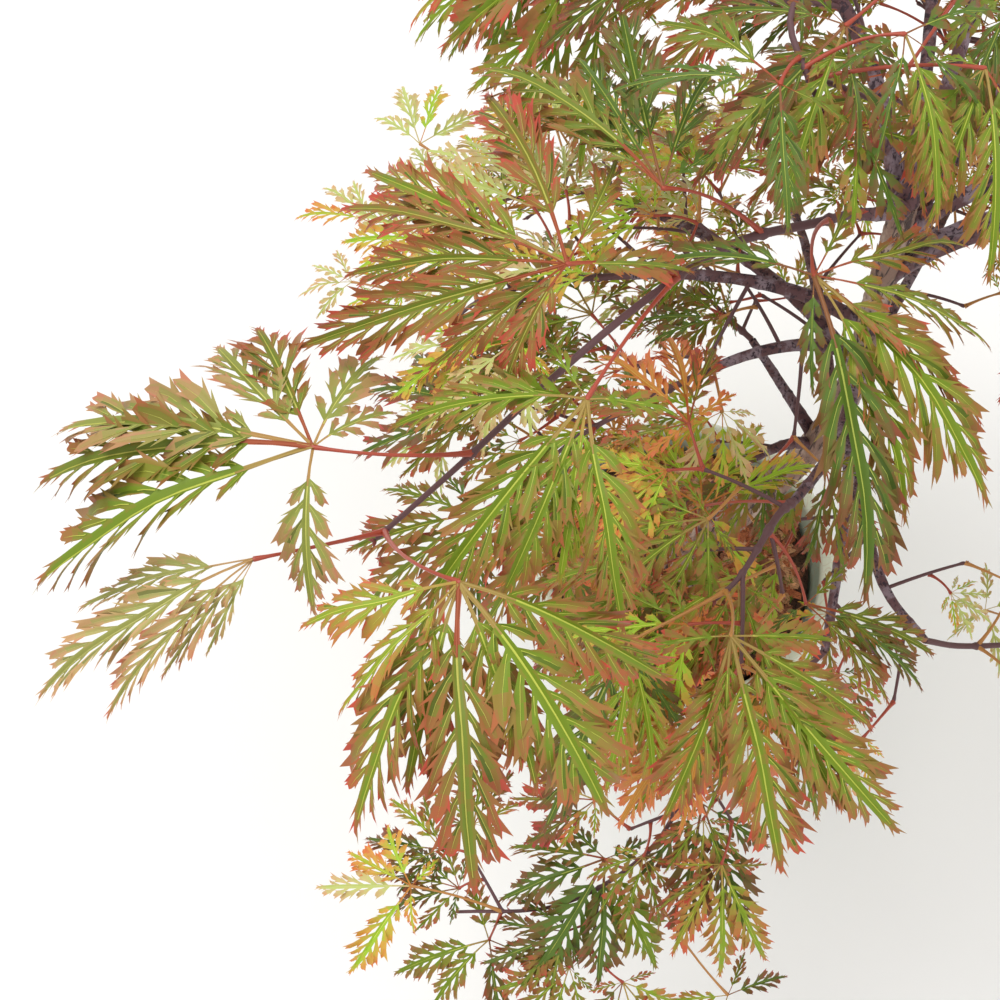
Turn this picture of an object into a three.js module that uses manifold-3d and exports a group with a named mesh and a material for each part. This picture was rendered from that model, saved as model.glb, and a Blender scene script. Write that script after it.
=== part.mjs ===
// A young laceleaf Japanese maple in a glazed pot.
// Millimetres, +Z up. The origin is the centre of the pot's flat underside.

import * as THREE from 'three';
import { mergeVertices } from 'three/addons/utils/BufferGeometryUtils.js';
import Module from 'manifold-3d';

const wasm = await Module();
wasm.setup();

// Pot and soil
const POT_HEIGHT = 150;
const RIM_RADIUS = 82.5;
const LIP_RADIUS = 4.5;
const BAND_HEIGHT = 20;
const SHOULDER_RADIUS = 77;
const FOOT_RADIUS = 50;
const FOOT_CHAMFER = 2;
const BELLY = 0.85;
const BODY_ROWS = [0.02, 0.3, 0.65, 1];
const BAND_INSET = 1;
const BAND_SLOPE = 4;
const LIP_ANGLES = [0, 45, 90, 135, 180];
const WALL = 7;
const FLOOR = 9;
const POT_SIDES = 32;
const DRAIN_RADIUS = 5;
const DRAIN_CIRCLE = 24;
const DRAIN_SIDES = 10;
const DRAIN_ANGLES = [90, 210, 330];
const GROUND = 138;
const SOIL_EDGE_DROP = 3;
const SOIL_FLAT = 0.75;

// Room kept between pieces that touch
const GAP = 0.3;

// Trunk
const TRUNK_HEIGHT = 431;
const TRUNK_BASE = 8.2;
const TRUNK_TOP = 4.3;
const FLARE = 0.8;
const FLARE_HEIGHT = 13;
const ROOT_RIDGES = 4;
const RIDGE_DEPTH = 0.16;
const TRUNK_SIDES = 12;
const TRUNK_STEPS = 15;
const TRUNK_WANDER = [
  [0, 0, 0], [2, 1, 0.05], [24, 5, 0.18], [45, 6, 0.38], [47, 1, 0.56], [36, -11, 0.8], [27, -19, 1],
];

// Boughs and twigs. A crest is where a limb's arch leans to, as shares of its reach or length.
const CREST_AT = 0.42;
const CREST_RISE = 0.34;
const BOUGH_BASE = 3.1;
const BOUGH_TIP = 1.7;
const BOUGH_SIDES = 5;
const BOUGH_STEPS = 6;
const TWIG_BASE = 1.5;
const TWIG_TIP = 0.9;
const TWIG_SIDES = 3;
const TWIG_STEPS = 6;
const PETIOLE_BASE = 0.95;
const PETIOLE_TIP = 0.8;
const PETIOLE_STEPS = 2;
const PETIOLE_RISE = 0.14;
const STEM_STEP = 30;

// Leaves
const HUB_THICKNESS = 2;
const BLADE_THICKNESS = 1.3;
const WIDEST_AT = 0.62;
const BLADE_WIDTH = 0.135;
const LOBE_ROOM = 0.85;
const WIDEST_TURN = 0.6;
const VALLEY = 0.13;
const LOBE_STEP = 29;
const LOBE_WANDER = 4;
const LOBE_LENGTHS = [0.92, 1.06];
const LOBE_FALL = 0.2;
const FALL_WANDER = 0.06;
const SHOWN_FALL = 0.25;
const LOBE_SHARES = [1, 0.93, 0.76, 0.5];
const SMALL_LEAF = 66;
const HEEL = 2.6;
const HEEL_TURN = 0.3;
const WIDE_SPREAD = 2.2;
const LOBE_ARCH = 0.09;
const FEWEST_LOBES = 4;

// Ranges for the leaves that grow by rule, in degrees, millimetres and shares
const END_OPENING = [24, 40];
const SIDE_OPENING = [52, 78];
const HUB_REACH = [30, 44];
const PAIR_CLIMB = 0.12;
const TURNED_CLIMB = 0.34;
const CLIMB_WANDER = 0.1;
const LEAF_TURN = 0.72;
const TURN_WANDER = 10;
const SIZES = [0.84, 1.12];
const SLOPES = [0.2, 0.42];
const JOINT_WANDER = [0.3, 0.7];

// Shares of a stem that joints are looked for at, and how far a joint lies back from its leaf
const FIRST_JOINT = 0.05;
const LAST_JOINT = 0.98;
const JOINT_STEP = 0.03;
const JOINT_BACK = 0.04;

// Points along each limb that leaves keep clear of, and the first of them that counts
const LIMB_POINTS = 12;
const FIRST_LIMB_POINT = 3;

// Eye of the picture that the crown follows, in pixels of a square of 1000
const EYE = new THREE.Vector3(-100.4, -295.3, 1053.5);
const LOOK_DOWN = THREE.MathUtils.degToRad(70);
const FOCAL = 1750;
const CENTRE = 500;
const AHEAD = new THREE.Vector3(0, Math.cos(LOOK_DOWN), -Math.sin(LOOK_DOWN));
const ABOVE = new THREE.Vector3(0, Math.sin(LOOK_DOWN), Math.cos(LOOK_DOWN));

// Windows of open sky in that picture, as left, top, right and bottom
const OPEN_WINDOWS = [
  [0, 40, 322, 392], [310, 62, 470, 88], [0, 560, 300, 1000], [790, 850, 1000, 1000],
  [945, 655, 1000, 1000], [290, 700, 325, 870],
];

const UP = new THREE.Vector3(0, 0, 1);
const rad = THREE.MathUtils.degToRad;
const at = (x, y, z) => new THREE.Vector3(x, y, z);

// The place at a height that a pixel of the picture shows.
function fromPicture([px, py], height) {
  const ray = AHEAD.clone()
    .addScaledVector(ABOVE, (CENTRE - py) / FOCAL)
    .add(at((px - CENTRE) / FOCAL, 0, 0));
  return EYE.clone().addScaledVector(ray, (height - EYE.z) / ray.z);
}

// The pixel of the picture that shows a place.
function inPicture(place) {
  const seen = place.clone().sub(EYE);
  const depth = seen.dot(AHEAD);
  return [CENTRE + (FOCAL * seen.x) / depth, CENTRE - (FOCAL * seen.dot(ABOVE)) / depth];
}

const isOpen = (place) => {
  const [px, py] = inPicture(place);
  return OPEN_WINDOWS.some(([left, top, right, bottom]) =>
    px > left && px < right && py > top && py < bottom);
};

// A source of numbers that gives the same row for the same seed.
function sampler(seed) {
  let state = seed;
  return (low, high) => {
    state = (state * 16807) % 2147483647;
    return low + ((high - low) * state) / 2147483647;
  };
}

const heading = (azimuth) => at(Math.cos(rad(azimuth)), Math.sin(rad(azimuth)), 0);

// A closed round limb along a curve. radiusAt takes the share of its length and the angle round it.
function limb(curve, radiusAt, sides, steps, flatStart = false) {
  const frames = curve.computeFrenetFrames(steps, false);
  const places = [];
  const faces = [];
  for (let step = 0; step <= steps; step += 1) {
    const centre = curve.getPointAt(step / steps);
    for (let side = 0; side < sides; side += 1) {
      const turn = (2 * Math.PI * side) / sides;
      const radius = radiusAt(step / steps, turn);
      const place = centre.clone()
        .addScaledVector(frames.normals[step], radius * Math.cos(turn))
        .addScaledVector(frames.binormals[step], radius * Math.sin(turn));
      if (flatStart && step === 0) place.z = centre.z;
      places.push(place);
    }
  }
  for (let step = 0; step < steps; step += 1) {
    for (let side = 0; side < sides; side += 1) {
      const next = (side + 1) % sides;
      const [a, b] = [step * sides + side, step * sides + next];
      faces.push([a, b, b + sides], [a, b + sides, a + sides]);
    }
  }
  const last = steps * sides;
  for (let side = 1; side < sides - 1; side += 1) {
    faces.push([0, side + 1, side], [last, last + side, last + side + 1]);
  }
  return solid(places, faces);
}

// A manifold from places and triangles.
function solid(places, faces) {
  return new wasm.Manifold(new wasm.Mesh({
    numProp: 3,
    vertProperties: new Float32Array(places.flatMap((place) => place.toArray())),
    triVerts: new Uint32Array(faces.flat()),
  }));
}

// A manifold from a closed geometry, with its shared corners merged.
function fromGeometry(geometry) {
  const bare = geometry.index ? geometry.toNonIndexed() : geometry.clone();
  bare.deleteAttribute('normal');
  bare.deleteAttribute('uv');
  const merged = mergeVertices(bare, 1e-4);
  const index = [...merged.index.array];
  const faces = [];
  for (let i = 0; i < index.length; i += 3) {
    const [a, b, c] = index.slice(i, i + 3);
    if (a !== b && b !== c && c !== a) faces.push(a, b, c);
  }
  return new wasm.Manifold(new wasm.Mesh({
    numProp: 3,
    vertProperties: new Float32Array(merged.attributes.position.array),
    triVerts: new Uint32Array(faces),
  }));
}

function toGeometry(body) {
  const mesh = body.getMesh();
  const geometry = new THREE.BufferGeometry();
  const places = new Float32Array(mesh.numVert * 3);
  for (let i = 0; i < mesh.numVert; i += 1) {
    for (let k = 0; k < 3; k += 1) places[i * 3 + k] = mesh.vertProperties[i * mesh.numProp + k];
  }
  geometry.setAttribute('position', new THREE.BufferAttribute(places, 3));
  geometry.setIndex(new THREE.BufferAttribute(new Uint32Array(mesh.triVerts), 1));
  return geometry;
}

// The largest body of a join, without loose scraps.
const largest = (body) =>
  body.decompose().reduce((best, piece) => (piece.volume() > best.volume() ? piece : best));

const join = (bodies) => bodies.reduce((whole, body) => whole.add(body));

// A solid turned round the upright axis from a profile of radius and height.
function turned(profile) {
  const points = profile.map(([radius, height]) => new THREE.Vector2(radius, height));
  const lathe = new THREE.LatheGeometry(points, POT_SIDES);
  lathe.rotateX(Math.PI / 2);
  return fromGeometry(lathe);
}

// Outer radius of the pot's tapering wall at a height below its band.
const bodyTop = POT_HEIGHT - BAND_HEIGHT - LIP_RADIUS;
const wallRadius = (height) =>
  FOOT_RADIUS + (SHOULDER_RADIUS - FOOT_RADIUS) * (Math.max(height, 0) / bodyTop) ** BELLY;
const innerRadius = (height) => wallRadius(Math.min(height, bodyTop)) - WALL;

function makePot() {
  const outside = [[0, 0], [FOOT_RADIUS - FOOT_CHAMFER, 0]];
  for (const share of BODY_ROWS) outside.push([wallRadius(share * bodyTop), share * bodyTop]);
  const lipCentre = [RIM_RADIUS - LIP_RADIUS, POT_HEIGHT - LIP_RADIUS];
  outside.push([RIM_RADIUS - BAND_INSET, bodyTop + BAND_SLOPE]);
  for (const angle of LIP_ANGLES) {
    outside.push([
      lipCentre[0] + LIP_RADIUS * Math.cos(rad(angle)),
      lipCentre[1] + LIP_RADIUS * Math.sin(rad(angle)),
    ]);
  }
  const inside = [[innerRadius(bodyTop), bodyTop], [innerRadius(bodyTop / 2), bodyTop / 2],
    [innerRadius(FLOOR), FLOOR], [0, FLOOR]];
  const drains = DRAIN_ANGLES.map((angle) => {
    const drain = new THREE.CylinderGeometry(DRAIN_RADIUS, DRAIN_RADIUS, FLOOR * 3, DRAIN_SIDES);
    const spot = heading(angle).multiplyScalar(DRAIN_CIRCLE);
    drain.rotateX(Math.PI / 2);
    drain.translate(spot.x, spot.y, 0);
    return fromGeometry(drain);
  });
  return turned([...outside, ...inside]).subtract(join(drains));
}

function makeSoil() {
  const edge = GROUND - SOIL_EDGE_DROP;
  return turned([
    [0, FLOOR], [innerRadius(FLOOR) - GAP * 2, FLOOR],
    [innerRadius(bodyTop / 2) - GAP * 2, bodyTop / 2],
    [innerRadius(bodyTop) - GAP * 2, bodyTop], [innerRadius(bodyTop) - GAP * 2, edge],
    [innerRadius(bodyTop) * SOIL_FLAT, GROUND], [0, GROUND],
  ]);
}

const trunkCurve = new THREE.CatmullRomCurve3(
  TRUNK_WANDER.map(([x, y, share]) => at(x, y, GROUND + share * TRUNK_HEIGHT)),
);

const trunkRadius = (extra) => (share, turn) => {
  const foot = Math.exp((-share * TRUNK_HEIGHT) / FLARE_HEIGHT);
  const plain = TRUNK_BASE + (TRUNK_TOP - TRUNK_BASE) * share;
  return plain * (1 + FLARE * foot) * (1 + RIDGE_DEPTH * foot * Math.cos(ROOT_RIDGES * turn)) + extra;
};

const makeTrunk = (extra) => limb(trunkCurve, trunkRadius(extra), TRUNK_SIDES, TRUNK_STEPS, true);

// The trunk's centre at a height.
function onTrunk(height) {
  let [low, high] = [0, 1];
  for (let i = 0; i < 30; i += 1) {
    const middle = (low + high) / 2;
    if (trunkCurve.getPointAt(middle).z < height) low = middle;
    else high = middle;
  }
  return trunkCurve.getPointAt(low);
}

// A bough that rises from the trunk, arches over and ends where its foliage starts.
function archedRoute({ from, azimuth, reach, lift }) {
  const start = onTrunk(from);
  const end = start.clone().addScaledVector(heading(azimuth), reach).addScaledVector(UP, lift);
  const crest = start.clone()
    .addScaledVector(heading(azimuth), reach * CREST_AT)
    .addScaledVector(UP, Math.max(lift, 0) + reach * CREST_RISE);
  return new THREE.QuadraticBezierCurve3(start, crest, end);
}

// A bough through places that the picture shows, each a pixel and a height.
function shownRoute({ from, through }) {
  const places = through.map(([px, py, height]) => fromPicture([px, py], height));
  return new THREE.CatmullRomCurve3([onTrunk(from), ...places]);
}

// The stem of a mass: it leaves its bough's tip in line and bends down as it grows.
function droopingStem(bough, { length, droop, swing = 0 }) {
  const start = bough.getPointAt(1);
  const line = bough.getTangentAt(1);
  const places = [start.clone().addScaledVector(line, GAP)];
  const steps = Math.max(3, Math.round(length / STEM_STEP));
  let tilt = THREE.MathUtils.radToDeg(Math.asin(line.z));
  let azimuth = THREE.MathUtils.radToDeg(Math.atan2(line.y, line.x));
  for (let step = 0; step < steps; step += 1) {
    const way = heading(azimuth).multiplyScalar(Math.cos(rad(tilt))).addScaledVector(UP, Math.sin(rad(tilt)));
    places.push(places.at(-1).clone().addScaledVector(way, length / steps));
    tilt -= droop / steps;
    azimuth += swing / steps;
  }
  return new THREE.CatmullRomCurve3(places);
}

// A stem through places that the picture shows.
function shownStem(bough, { through }) {
  const start = bough.getPointAt(1).addScaledVector(bough.getTangentAt(1), GAP);
  const places = through.map(([px, py, height]) => fromPicture([px, py], height));
  return new THREE.CatmullRomCurve3([start, ...places]);
}

// A leaf that the picture shows: its hub and the tips of its lobes, each a pixel.
function shownLeaf({ hub: [px, py, height], tips }) {
  const hub = fromPicture([px, py], height);
  const lobes = tips.map((tip) => {
    const level = fromPicture(tip, height).distanceTo(hub);
    return makeLobe(hub, fromPicture(tip, height - SHOWN_FALL * level));
  });
  return { hub, lobes };
}

// A leaf by rule: lobes spread round the way that it points, all bending down.
function ruledLeaf(hub, azimuth, length, slope, draw) {
  const outer = length < SMALL_LEAF ? 2 : 3;
  const lobes = [];
  for (let order = -outer; order <= outer; order += 1) {
    const reach = length * LOBE_SHARES[Math.abs(order)] * draw(...LOBE_LENGTHS);
    const way = heading(azimuth + order * LOBE_STEP + draw(-LOBE_WANDER, LOBE_WANDER));
    const fall = slope * Math.cos(rad(order * LOBE_STEP)) + LOBE_FALL + draw(-FALL_WANDER, FALL_WANDER);
    const tip = hub.clone().addScaledVector(way, reach).addScaledVector(UP, -fall * reach);
    lobes.push(makeLobe(hub, tip));
  }
  return { hub, lobes };
}

// One lobe: a line from the hub that arches up and over to its tip.
function makeLobe(hub, tip) {
  const length = tip.distanceTo(hub);
  const middle = hub.clone().lerp(tip, WIDEST_AT).addScaledVector(UP, LOBE_ARCH * length);
  return { middle, tip, length, angle: Math.atan2(tip.y - hub.y, tip.x - hub.x) };
}

// The closed blade of a leaf: each lobe is a lens that is widest past its middle, and the valleys
// between lobes lie close to the hub. A wide spread without lobes has a short heel round the hub.
function leafSolid({ hub, lobes }) {
  const sorted = [...lobes].sort((one, other) => one.angle - other.angle);
  const spreadAfter = sorted.map((lobe, i) => {
    const turn = sorted[(i + 1) % sorted.length].angle - lobe.angle;
    return turn > 0 ? turn : turn + 2 * Math.PI;
  });
  const places = [
    hub.clone().addScaledVector(UP, HUB_THICKNESS / 2),
    hub.clone().addScaledVector(UP, -HUB_THICKNESS / 2),
  ];
  const [top, bottom] = [0, 1];
  const add = (place) => places.push(place) - 1;
  const round = (angle, radius) =>
    add(hub.clone().add(at(Math.cos(angle), Math.sin(angle), 0).multiplyScalar(radius)));
  const valleys = sorted.map((lobe, i) => {
    const next = sorted[(i + 1) % sorted.length];
    const spread = spreadAfter[i];
    const depth = VALLEY * Math.min(lobe.length, next.length);
    if (spread < WIDE_SPREAD) return [round(lobe.angle + spread / 2, depth)];
    return [HEEL_TURN, spread / 2, spread - HEEL_TURN].map((turn) => round(lobe.angle + turn, HEEL));
  });
  const faces = [];
  sorted.forEach((lobe, i) => {
    const before = (i + sorted.length - 1) % sorted.length;
    const room = Math.min(spreadAfter[i], spreadAfter[before]) / 2;
    const out = at(Math.cos(lobe.angle), Math.sin(lobe.angle), 0);
    const side = at(-out.y, out.x, 0);
    const plan = lobe.middle.clone().sub(hub).dot(out);
    const turn = Math.min(room * LOBE_ROOM, WIDEST_TURN);
    const half = Math.min(BLADE_WIDTH * lobe.length, plan * Math.tan(turn));
    const right = add(lobe.middle.clone().addScaledVector(side, -half));
    const tip = add(lobe.tip.clone());
    const left = add(lobe.middle.clone().addScaledVector(side, half));
    const crown = add(lobe.middle.clone().addScaledVector(UP, BLADE_THICKNESS / 2));
    const belly = add(lobe.middle.clone().addScaledVector(UP, -BLADE_THICKNESS / 2));
    const rim = [valleys[before].at(-1), right, tip, left, valleys[i][0]];
    for (let k = 0; k < rim.length - 1; k += 1) {
      faces.push([rim[k], rim[k + 1], crown], [rim[k + 1], rim[k], belly]);
    }
    faces.push([top, rim[0], crown], [top, crown, rim.at(-1)]);
    faces.push([bottom, belly, rim[0]], [bottom, rim.at(-1), belly]);
    for (let k = 0; k < valleys[i].length - 1; k += 1) {
      faces.push([top, valleys[i][k], valleys[i][k + 1]], [bottom, valleys[i][k + 1], valleys[i][k]]);
    }
  });
  return solid(places, faces);
}

// A petiole from its twig to the leaf's hub, rising first and then bending over.
function petiole(from, hub) {
  const crest = from.clone().lerp(hub, 0.5).addScaledVector(UP, from.distanceTo(hub) * PETIOLE_RISE);
  const curve = new THREE.QuadraticBezierCurve3(from, crest, hub);
  const radius = (share) => PETIOLE_BASE + (PETIOLE_TIP - PETIOLE_BASE) * share;
  return limb(curve, radius, TWIG_SIDES, PETIOLE_STEPS);
}

// Tapers from one radius to another along a limb.
const taper = (base, tip) => (share) => base + (tip - base) * share;

// The leaves that a mass grows by rule: pairs at each joint of its stem, turned a quarter each time.
function seededLeaves(stem, { seed, pairs, span = [0.12, 1], size = 62 }) {
  const draw = sampler(seed);
  const leaves = [];
  for (let joint = 0; joint < pairs; joint += 1) {
    const share = span[0] + ((span[1] - span[0]) * (joint + draw(...JOINT_WANDER))) / pairs;
    const place = stem.getPointAt(share);
    const line = stem.getTangentAt(share);
    const ahead = THREE.MathUtils.radToDeg(Math.atan2(line.y, line.x));
    const end = joint === pairs - 1;
    for (const hand of [1, -1]) {
      const open = end ? draw(...END_OPENING) : draw(...SIDE_OPENING);
      const reach = draw(...HUB_REACH);
      const climb = (joint % 2 ? hand * TURNED_CLIMB : PAIR_CLIMB) + draw(-CLIMB_WANDER, CLIMB_WANDER);
      const way = heading(ahead + hand * open).addScaledVector(UP, climb).normalize();
      const hub = place.clone().addScaledVector(way, reach);
      const azimuth = ahead + hand * open * LEAF_TURN + draw(-TURN_WANDER, TURN_WANDER);
      const leaf = ruledLeaf(hub, azimuth, size * draw(...SIZES), draw(...SLOPES), draw);
      leaves.push({ ...leaf, from: place });
    }
  }
  return leaves;
}

// Leaves that the picture shows: the hub's pixel and height, the lobes' tips and, where it shows, the
// joint that they grow from as a share of their stem.
const FRONT_LEFT_LEAVES = [
  { hub: [313, 447, 622], joint: 0.8, tips: [[213, 339], [254, 320], [385, 350], [400, 410],
    [48, 423], [26, 480], [22, 583], [314, 620]] },
  { hub: [254, 559, 612], joint: 0.98, tips: [[27, 701], [99, 723], [70, 608], [204, 659], [156, 682]] },
  { hub: [459, 582, 640], joint: 0.8, tips: [[293, 625], [330, 715], [345, 840], [480, 905],
    [610, 820], [675, 690]] },
  { hub: [587, 399, 636], joint: 0.38, tips: [[471, 381], [380, 430], [420, 610], [560, 590],
    [630, 640], [684, 417], [542, 332]] },
  { hub: [567, 264, 642], joint: 0.38, tips: [[330, 204], [354, 166], [284, 352], [335, 274],
    [500, 400], [620, 150], [700, 270]] },
  { hub: [663, 188, 644], joint: 0.2, tips: [[474, 59], [512, 109], [575, 48], [620, 0], [718, 63],
    [741, 140]] },
  { hub: [814, 276, 634], joint: 0.06, tips: [[855, 185], [975, 240], [1000, 345], [1000, 495],
    [870, 600], [830, 395], [628, 265]] },
];
const TOP_LEAVES = [
  { hub: [780, 84, 664], tips: [[600, 90], [650, 20], [790, 240], [700, 170], [860, 130]] },
  { hub: [905, 34, 668], tips: [[830, 75], [870, 170], [940, 230], [990, 120], [1010, 10]] },
  { hub: [1012, -8, 656], tips: [[945, 165], [1000, 190], [935, 60], [1080, 120], [1100, 0]] },
];
const FRONT_LEAVES = [
  { hub: [628, 642, 486], tips: [[545, 842], [602, 800], [655, 800], [690, 740], [560, 690]] },
  { hub: [731, 636, 520], tips: [[659, 831], [785, 881], [906, 841], [841, 640], [640, 650]] },
  { hub: [702, 506, 440], tips: [[600, 450], [645, 412], [690, 400], [765, 420], [823, 462],
    [760, 590], [700, 620], [610, 560]] },
  { hub: [806, 604, 462], tips: [[940, 657], [929, 692], [894, 707], [850, 560], [760, 640]] },
];
const LOW_FRONT_LEAVES = [
  { hub: [602, 860, 250], tips: [[510, 880], [560, 950], [640, 955], [690, 880], [560, 800]] },
  { hub: [707, 807, 275], tips: [[640, 860], [690, 910], [745, 920], [790, 830], [700, 740]] },
  { hub: [489, 940, 215], tips: [[390, 975], [430, 1010], [500, 1035], [560, 980], [470, 870]] },
  { hub: [411, 886, 240], tips: [[315, 885], [345, 950], [385, 975], [440, 860], [350, 850]] },
  { hub: [728, 995, 186], tips: [[665, 1000], [700, 1060], [790, 975], [745, 950]] },
];
const LEFT_LEAVES = [
  { hub: [440, 430, 332], tips: [[380, 470], [395, 400], [450, 360], [500, 430], [440, 500]] },
  { hub: [345, 292, 335], tips: [[300, 290], [318, 330], [360, 350], [385, 270]] },
];
const LOW_BACK_LEFT_LEAVES = [
  { hub: [430, 125, 345], tips: [[375, 150], [400, 95], [455, 90], [490, 130]] },
  { hub: [400, 200, 340], tips: [[335, 215], [360, 240], [410, 270], [440, 190], [370, 180]] },
];
const INNER_BACK_LEAVES = [
  { hub: [685, 309, 340], tips: [[620, 300], [650, 350], [690, 370], [740, 330], [700, 260]] },
];
const LOW_RIGHT_LEAVES = [
  { hub: [985, 610, 262], tips: [[945, 640], [950, 600], [985, 560], [1040, 600], [1000, 680]] },
];

// Each mass of foliage with the bough that carries it, upper tier first
const MASSES = [
  { name: 'front_left',
    bough: { from: 566, through: [[880, 214, 584], [852, 214, 592]] },
    stem: { through: [[820, 222, 600], [735, 243, 612], [643, 302, 622], [545, 385, 622],
      [465, 460, 612], [375, 540, 596]] },
    shown: FRONT_LEFT_LEAVES, seed: 11, pairs: 0 },
  { name: 'top',
    bough: { from: 569, azimuth: 74, reach: 34, lift: 58 },
    stem: { through: [[900, -40, 650], [815, -20, 658], [790, 20, 660], [812, 86, 656],
      [822, 112, 650]] },
    shown: TOP_LEAVES, seed: 23, pairs: 2, span: [0, 0.4], size: 62 },
  { name: 'back_left',
    bough: { from: 552, azimuth: 124, reach: 84, lift: 56 },
    stem: { length: 125, droop: 60, swing: -14 }, seed: 35, pairs: 4, size: 68 },
  { name: 'right',
    bough: { from: 540, azimuth: 2, reach: 80, lift: 40 },
    stem: { length: 130, droop: 62, swing: 10 }, seed: 47, pairs: 4, size: 68 },
  { name: 'back_right',
    bough: { from: 528, azimuth: 44, reach: 80, lift: 78 },
    stem: { length: 125, droop: 64, swing: -12 }, seed: 59, pairs: 4, size: 68 },
  { name: 'back',
    bough: { from: 516, azimuth: 84, reach: 92, lift: 52 },
    stem: { length: 125, droop: 62, swing: 10 }, seed: 61, pairs: 4, size: 68 },
  { name: 'front_right',
    bough: { from: 504, azimuth: -40, reach: 84, lift: 92 },
    stem: { length: 115, droop: 66, swing: 8 }, seed: 73, pairs: 4, size: 66 },
  { name: 'front',
    bough: { from: 440, through: [[845, 420, 458], [823, 465, 470], [795, 500, 480]] },
    stem: { through: [[780, 513, 484], [737, 580, 490], [715, 600, 488]] },
    shown: FRONT_LEAVES, seed: 85, pairs: 0 },
  { name: 'mid_left',
    bough: { from: 412, azimuth: 196, reach: 74, lift: 30 },
    stem: { length: 84, droop: 50, swing: -16 }, seed: 205, pairs: 3, size: 58 },
  { name: 'left',
    bough: { from: 452, azimuth: 167, reach: 92, lift: 4 },
    stem: { length: 120, droop: 52, swing: -14 },
    shown: LEFT_LEAVES, seed: 97, pairs: 2, size: 56 },
  { name: 'mid_right',
    bough: { from: 516, azimuth: 16, reach: 88, lift: 4 },
    stem: { length: 116, droop: 50, swing: -50 }, seed: 109, pairs: 3, size: 62 },
  { name: 'mid_back',
    bough: { from: 464, azimuth: 70, reach: 100, lift: 16 },
    stem: { length: 110, droop: 50, swing: 8 }, seed: 121, pairs: 3, size: 62 },
  { name: 'low_front',
    bough: { from: 372, azimuth: 262, reach: 112, lift: -8 },
    stem: { through: [[700, 770, 296], [650, 850, 262], [560, 905, 238], [455, 912, 232]] },
    shown: LOW_FRONT_LEAVES, seed: 133, pairs: 0 },
  { name: 'inner_front',
    bough: { from: 300, azimuth: 208, reach: 52, lift: 22 },
    stem: { length: 66, droop: 46, swing: 10 }, seed: 217, pairs: 3, size: 50 },
  { name: 'low_right',
    bough: { from: 340, through: [[858, 500, 352], [886, 590, 344], [925, 640, 326]] },
    stem: { through: [[960, 646, 314], [1040, 640, 300], [1130, 610, 280]] },
    shown: LOW_RIGHT_LEAVES, seed: 145, pairs: 2, size: 52 },
  { name: 'low_back_left',
    bough: { from: 400, azimuth: 138, reach: 120, lift: -8 },
    stem: { length: 96, droop: 44, swing: 6 },
    shown: LOW_BACK_LEFT_LEAVES, seed: 157, pairs: 1, size: 52 },
  { name: 'inner_back',
    bough: { from: 306, through: [[785, 390, 330], [752, 340, 345]] },
    stem: { through: [[725, 315, 348], [700, 290, 346]] },
    shown: INNER_BACK_LEAVES, seed: 169, pairs: 1, size: 46 },
  { name: 'low_back',
    bough: { from: 330, azimuth: 96, reach: 112, lift: 0 },
    stem: { length: 84, droop: 48, swing: -6 }, seed: 181, pairs: 2, size: 54 },
  { name: 'low_back_right',
    bough: { from: 354, azimuth: 60, reach: 100, lift: 6 },
    stem: { length: 110, droop: 48, swing: -70 }, seed: 193, pairs: 3, size: 56 },
];

// Points along a leaf that its own space is measured from.
const samples = ({ hub, lobes }) => [
  hub, ...lobes.flatMap(({ middle, tip }) => [hub.clone().lerp(middle, 0.6), middle, tip]),
];

// Two leaves of neighbouring masses need this much room sideways or upright between their points.
const ROOM_ACROSS = 15;
const ROOM_UPRIGHT = 6;
const tooNear = (one, other) =>
  Math.abs(one.z - other.z) < ROOM_UPRIGHT
  && Math.hypot(one.x - other.x, one.y - other.y) < ROOM_ACROSS;

// Leaves out each lobe that would enter a neighbour's space or the open sky, and the whole leaf
// when few lobes are left.
function keepToSpace(leaf, taken, shown) {
  const barred = (point) =>
    (!shown && isOpen(point)) || taken.some((other) => tooNear(point, other));
  const lobes = leaf.lobes.filter(({ middle, tip }) => !barred(middle) && !barred(tip));
  return !barred(leaf.hub) && lobes.length >= FEWEST_LOBES ? { ...leaf, lobes } : null;
}

// The place on a stem nearest to a leaf's hub, a little towards the stem's root.
function nearestJoint(stem, hub) {
  let best = FIRST_JOINT;
  for (let share = FIRST_JOINT; share <= LAST_JOINT; share += JOINT_STEP) {
    if (stem.getPointAt(share).distanceTo(hub) < stem.getPointAt(best).distanceTo(hub)) best = share;
  }
  return stem.getPointAt(Math.max(FIRST_JOINT, best - JOINT_BACK));
}

const pot = makePot();
const soil = makeSoil();
const trunk = makeTrunk(0);

// Boughs first, each cut clear of the trunk and of the boughs before it
let limbs = makeTrunk(GAP);
const routes = MASSES.map(({ bough }) => (bough.through ? shownRoute(bough) : archedRoute(bough)));
const boughs = routes.map((route) => {
  const body = limb(route, taper(BOUGH_BASE, BOUGH_TIP), BOUGH_SIDES, BOUGH_STEPS);
  const clear = largest(body.subtract(limbs));
  limbs = limbs.add(limb(route, taper(BOUGH_BASE + GAP, BOUGH_TIP + GAP), BOUGH_SIDES, BOUGH_STEPS));
  return clear;
});

// Points along the limbs, which leaves also keep clear of
const alongLimbs = routes.flatMap((route) =>
  route.getSpacedPoints(LIMB_POINTS).slice(FIRST_LIMB_POINT, LIMB_POINTS));

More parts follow.
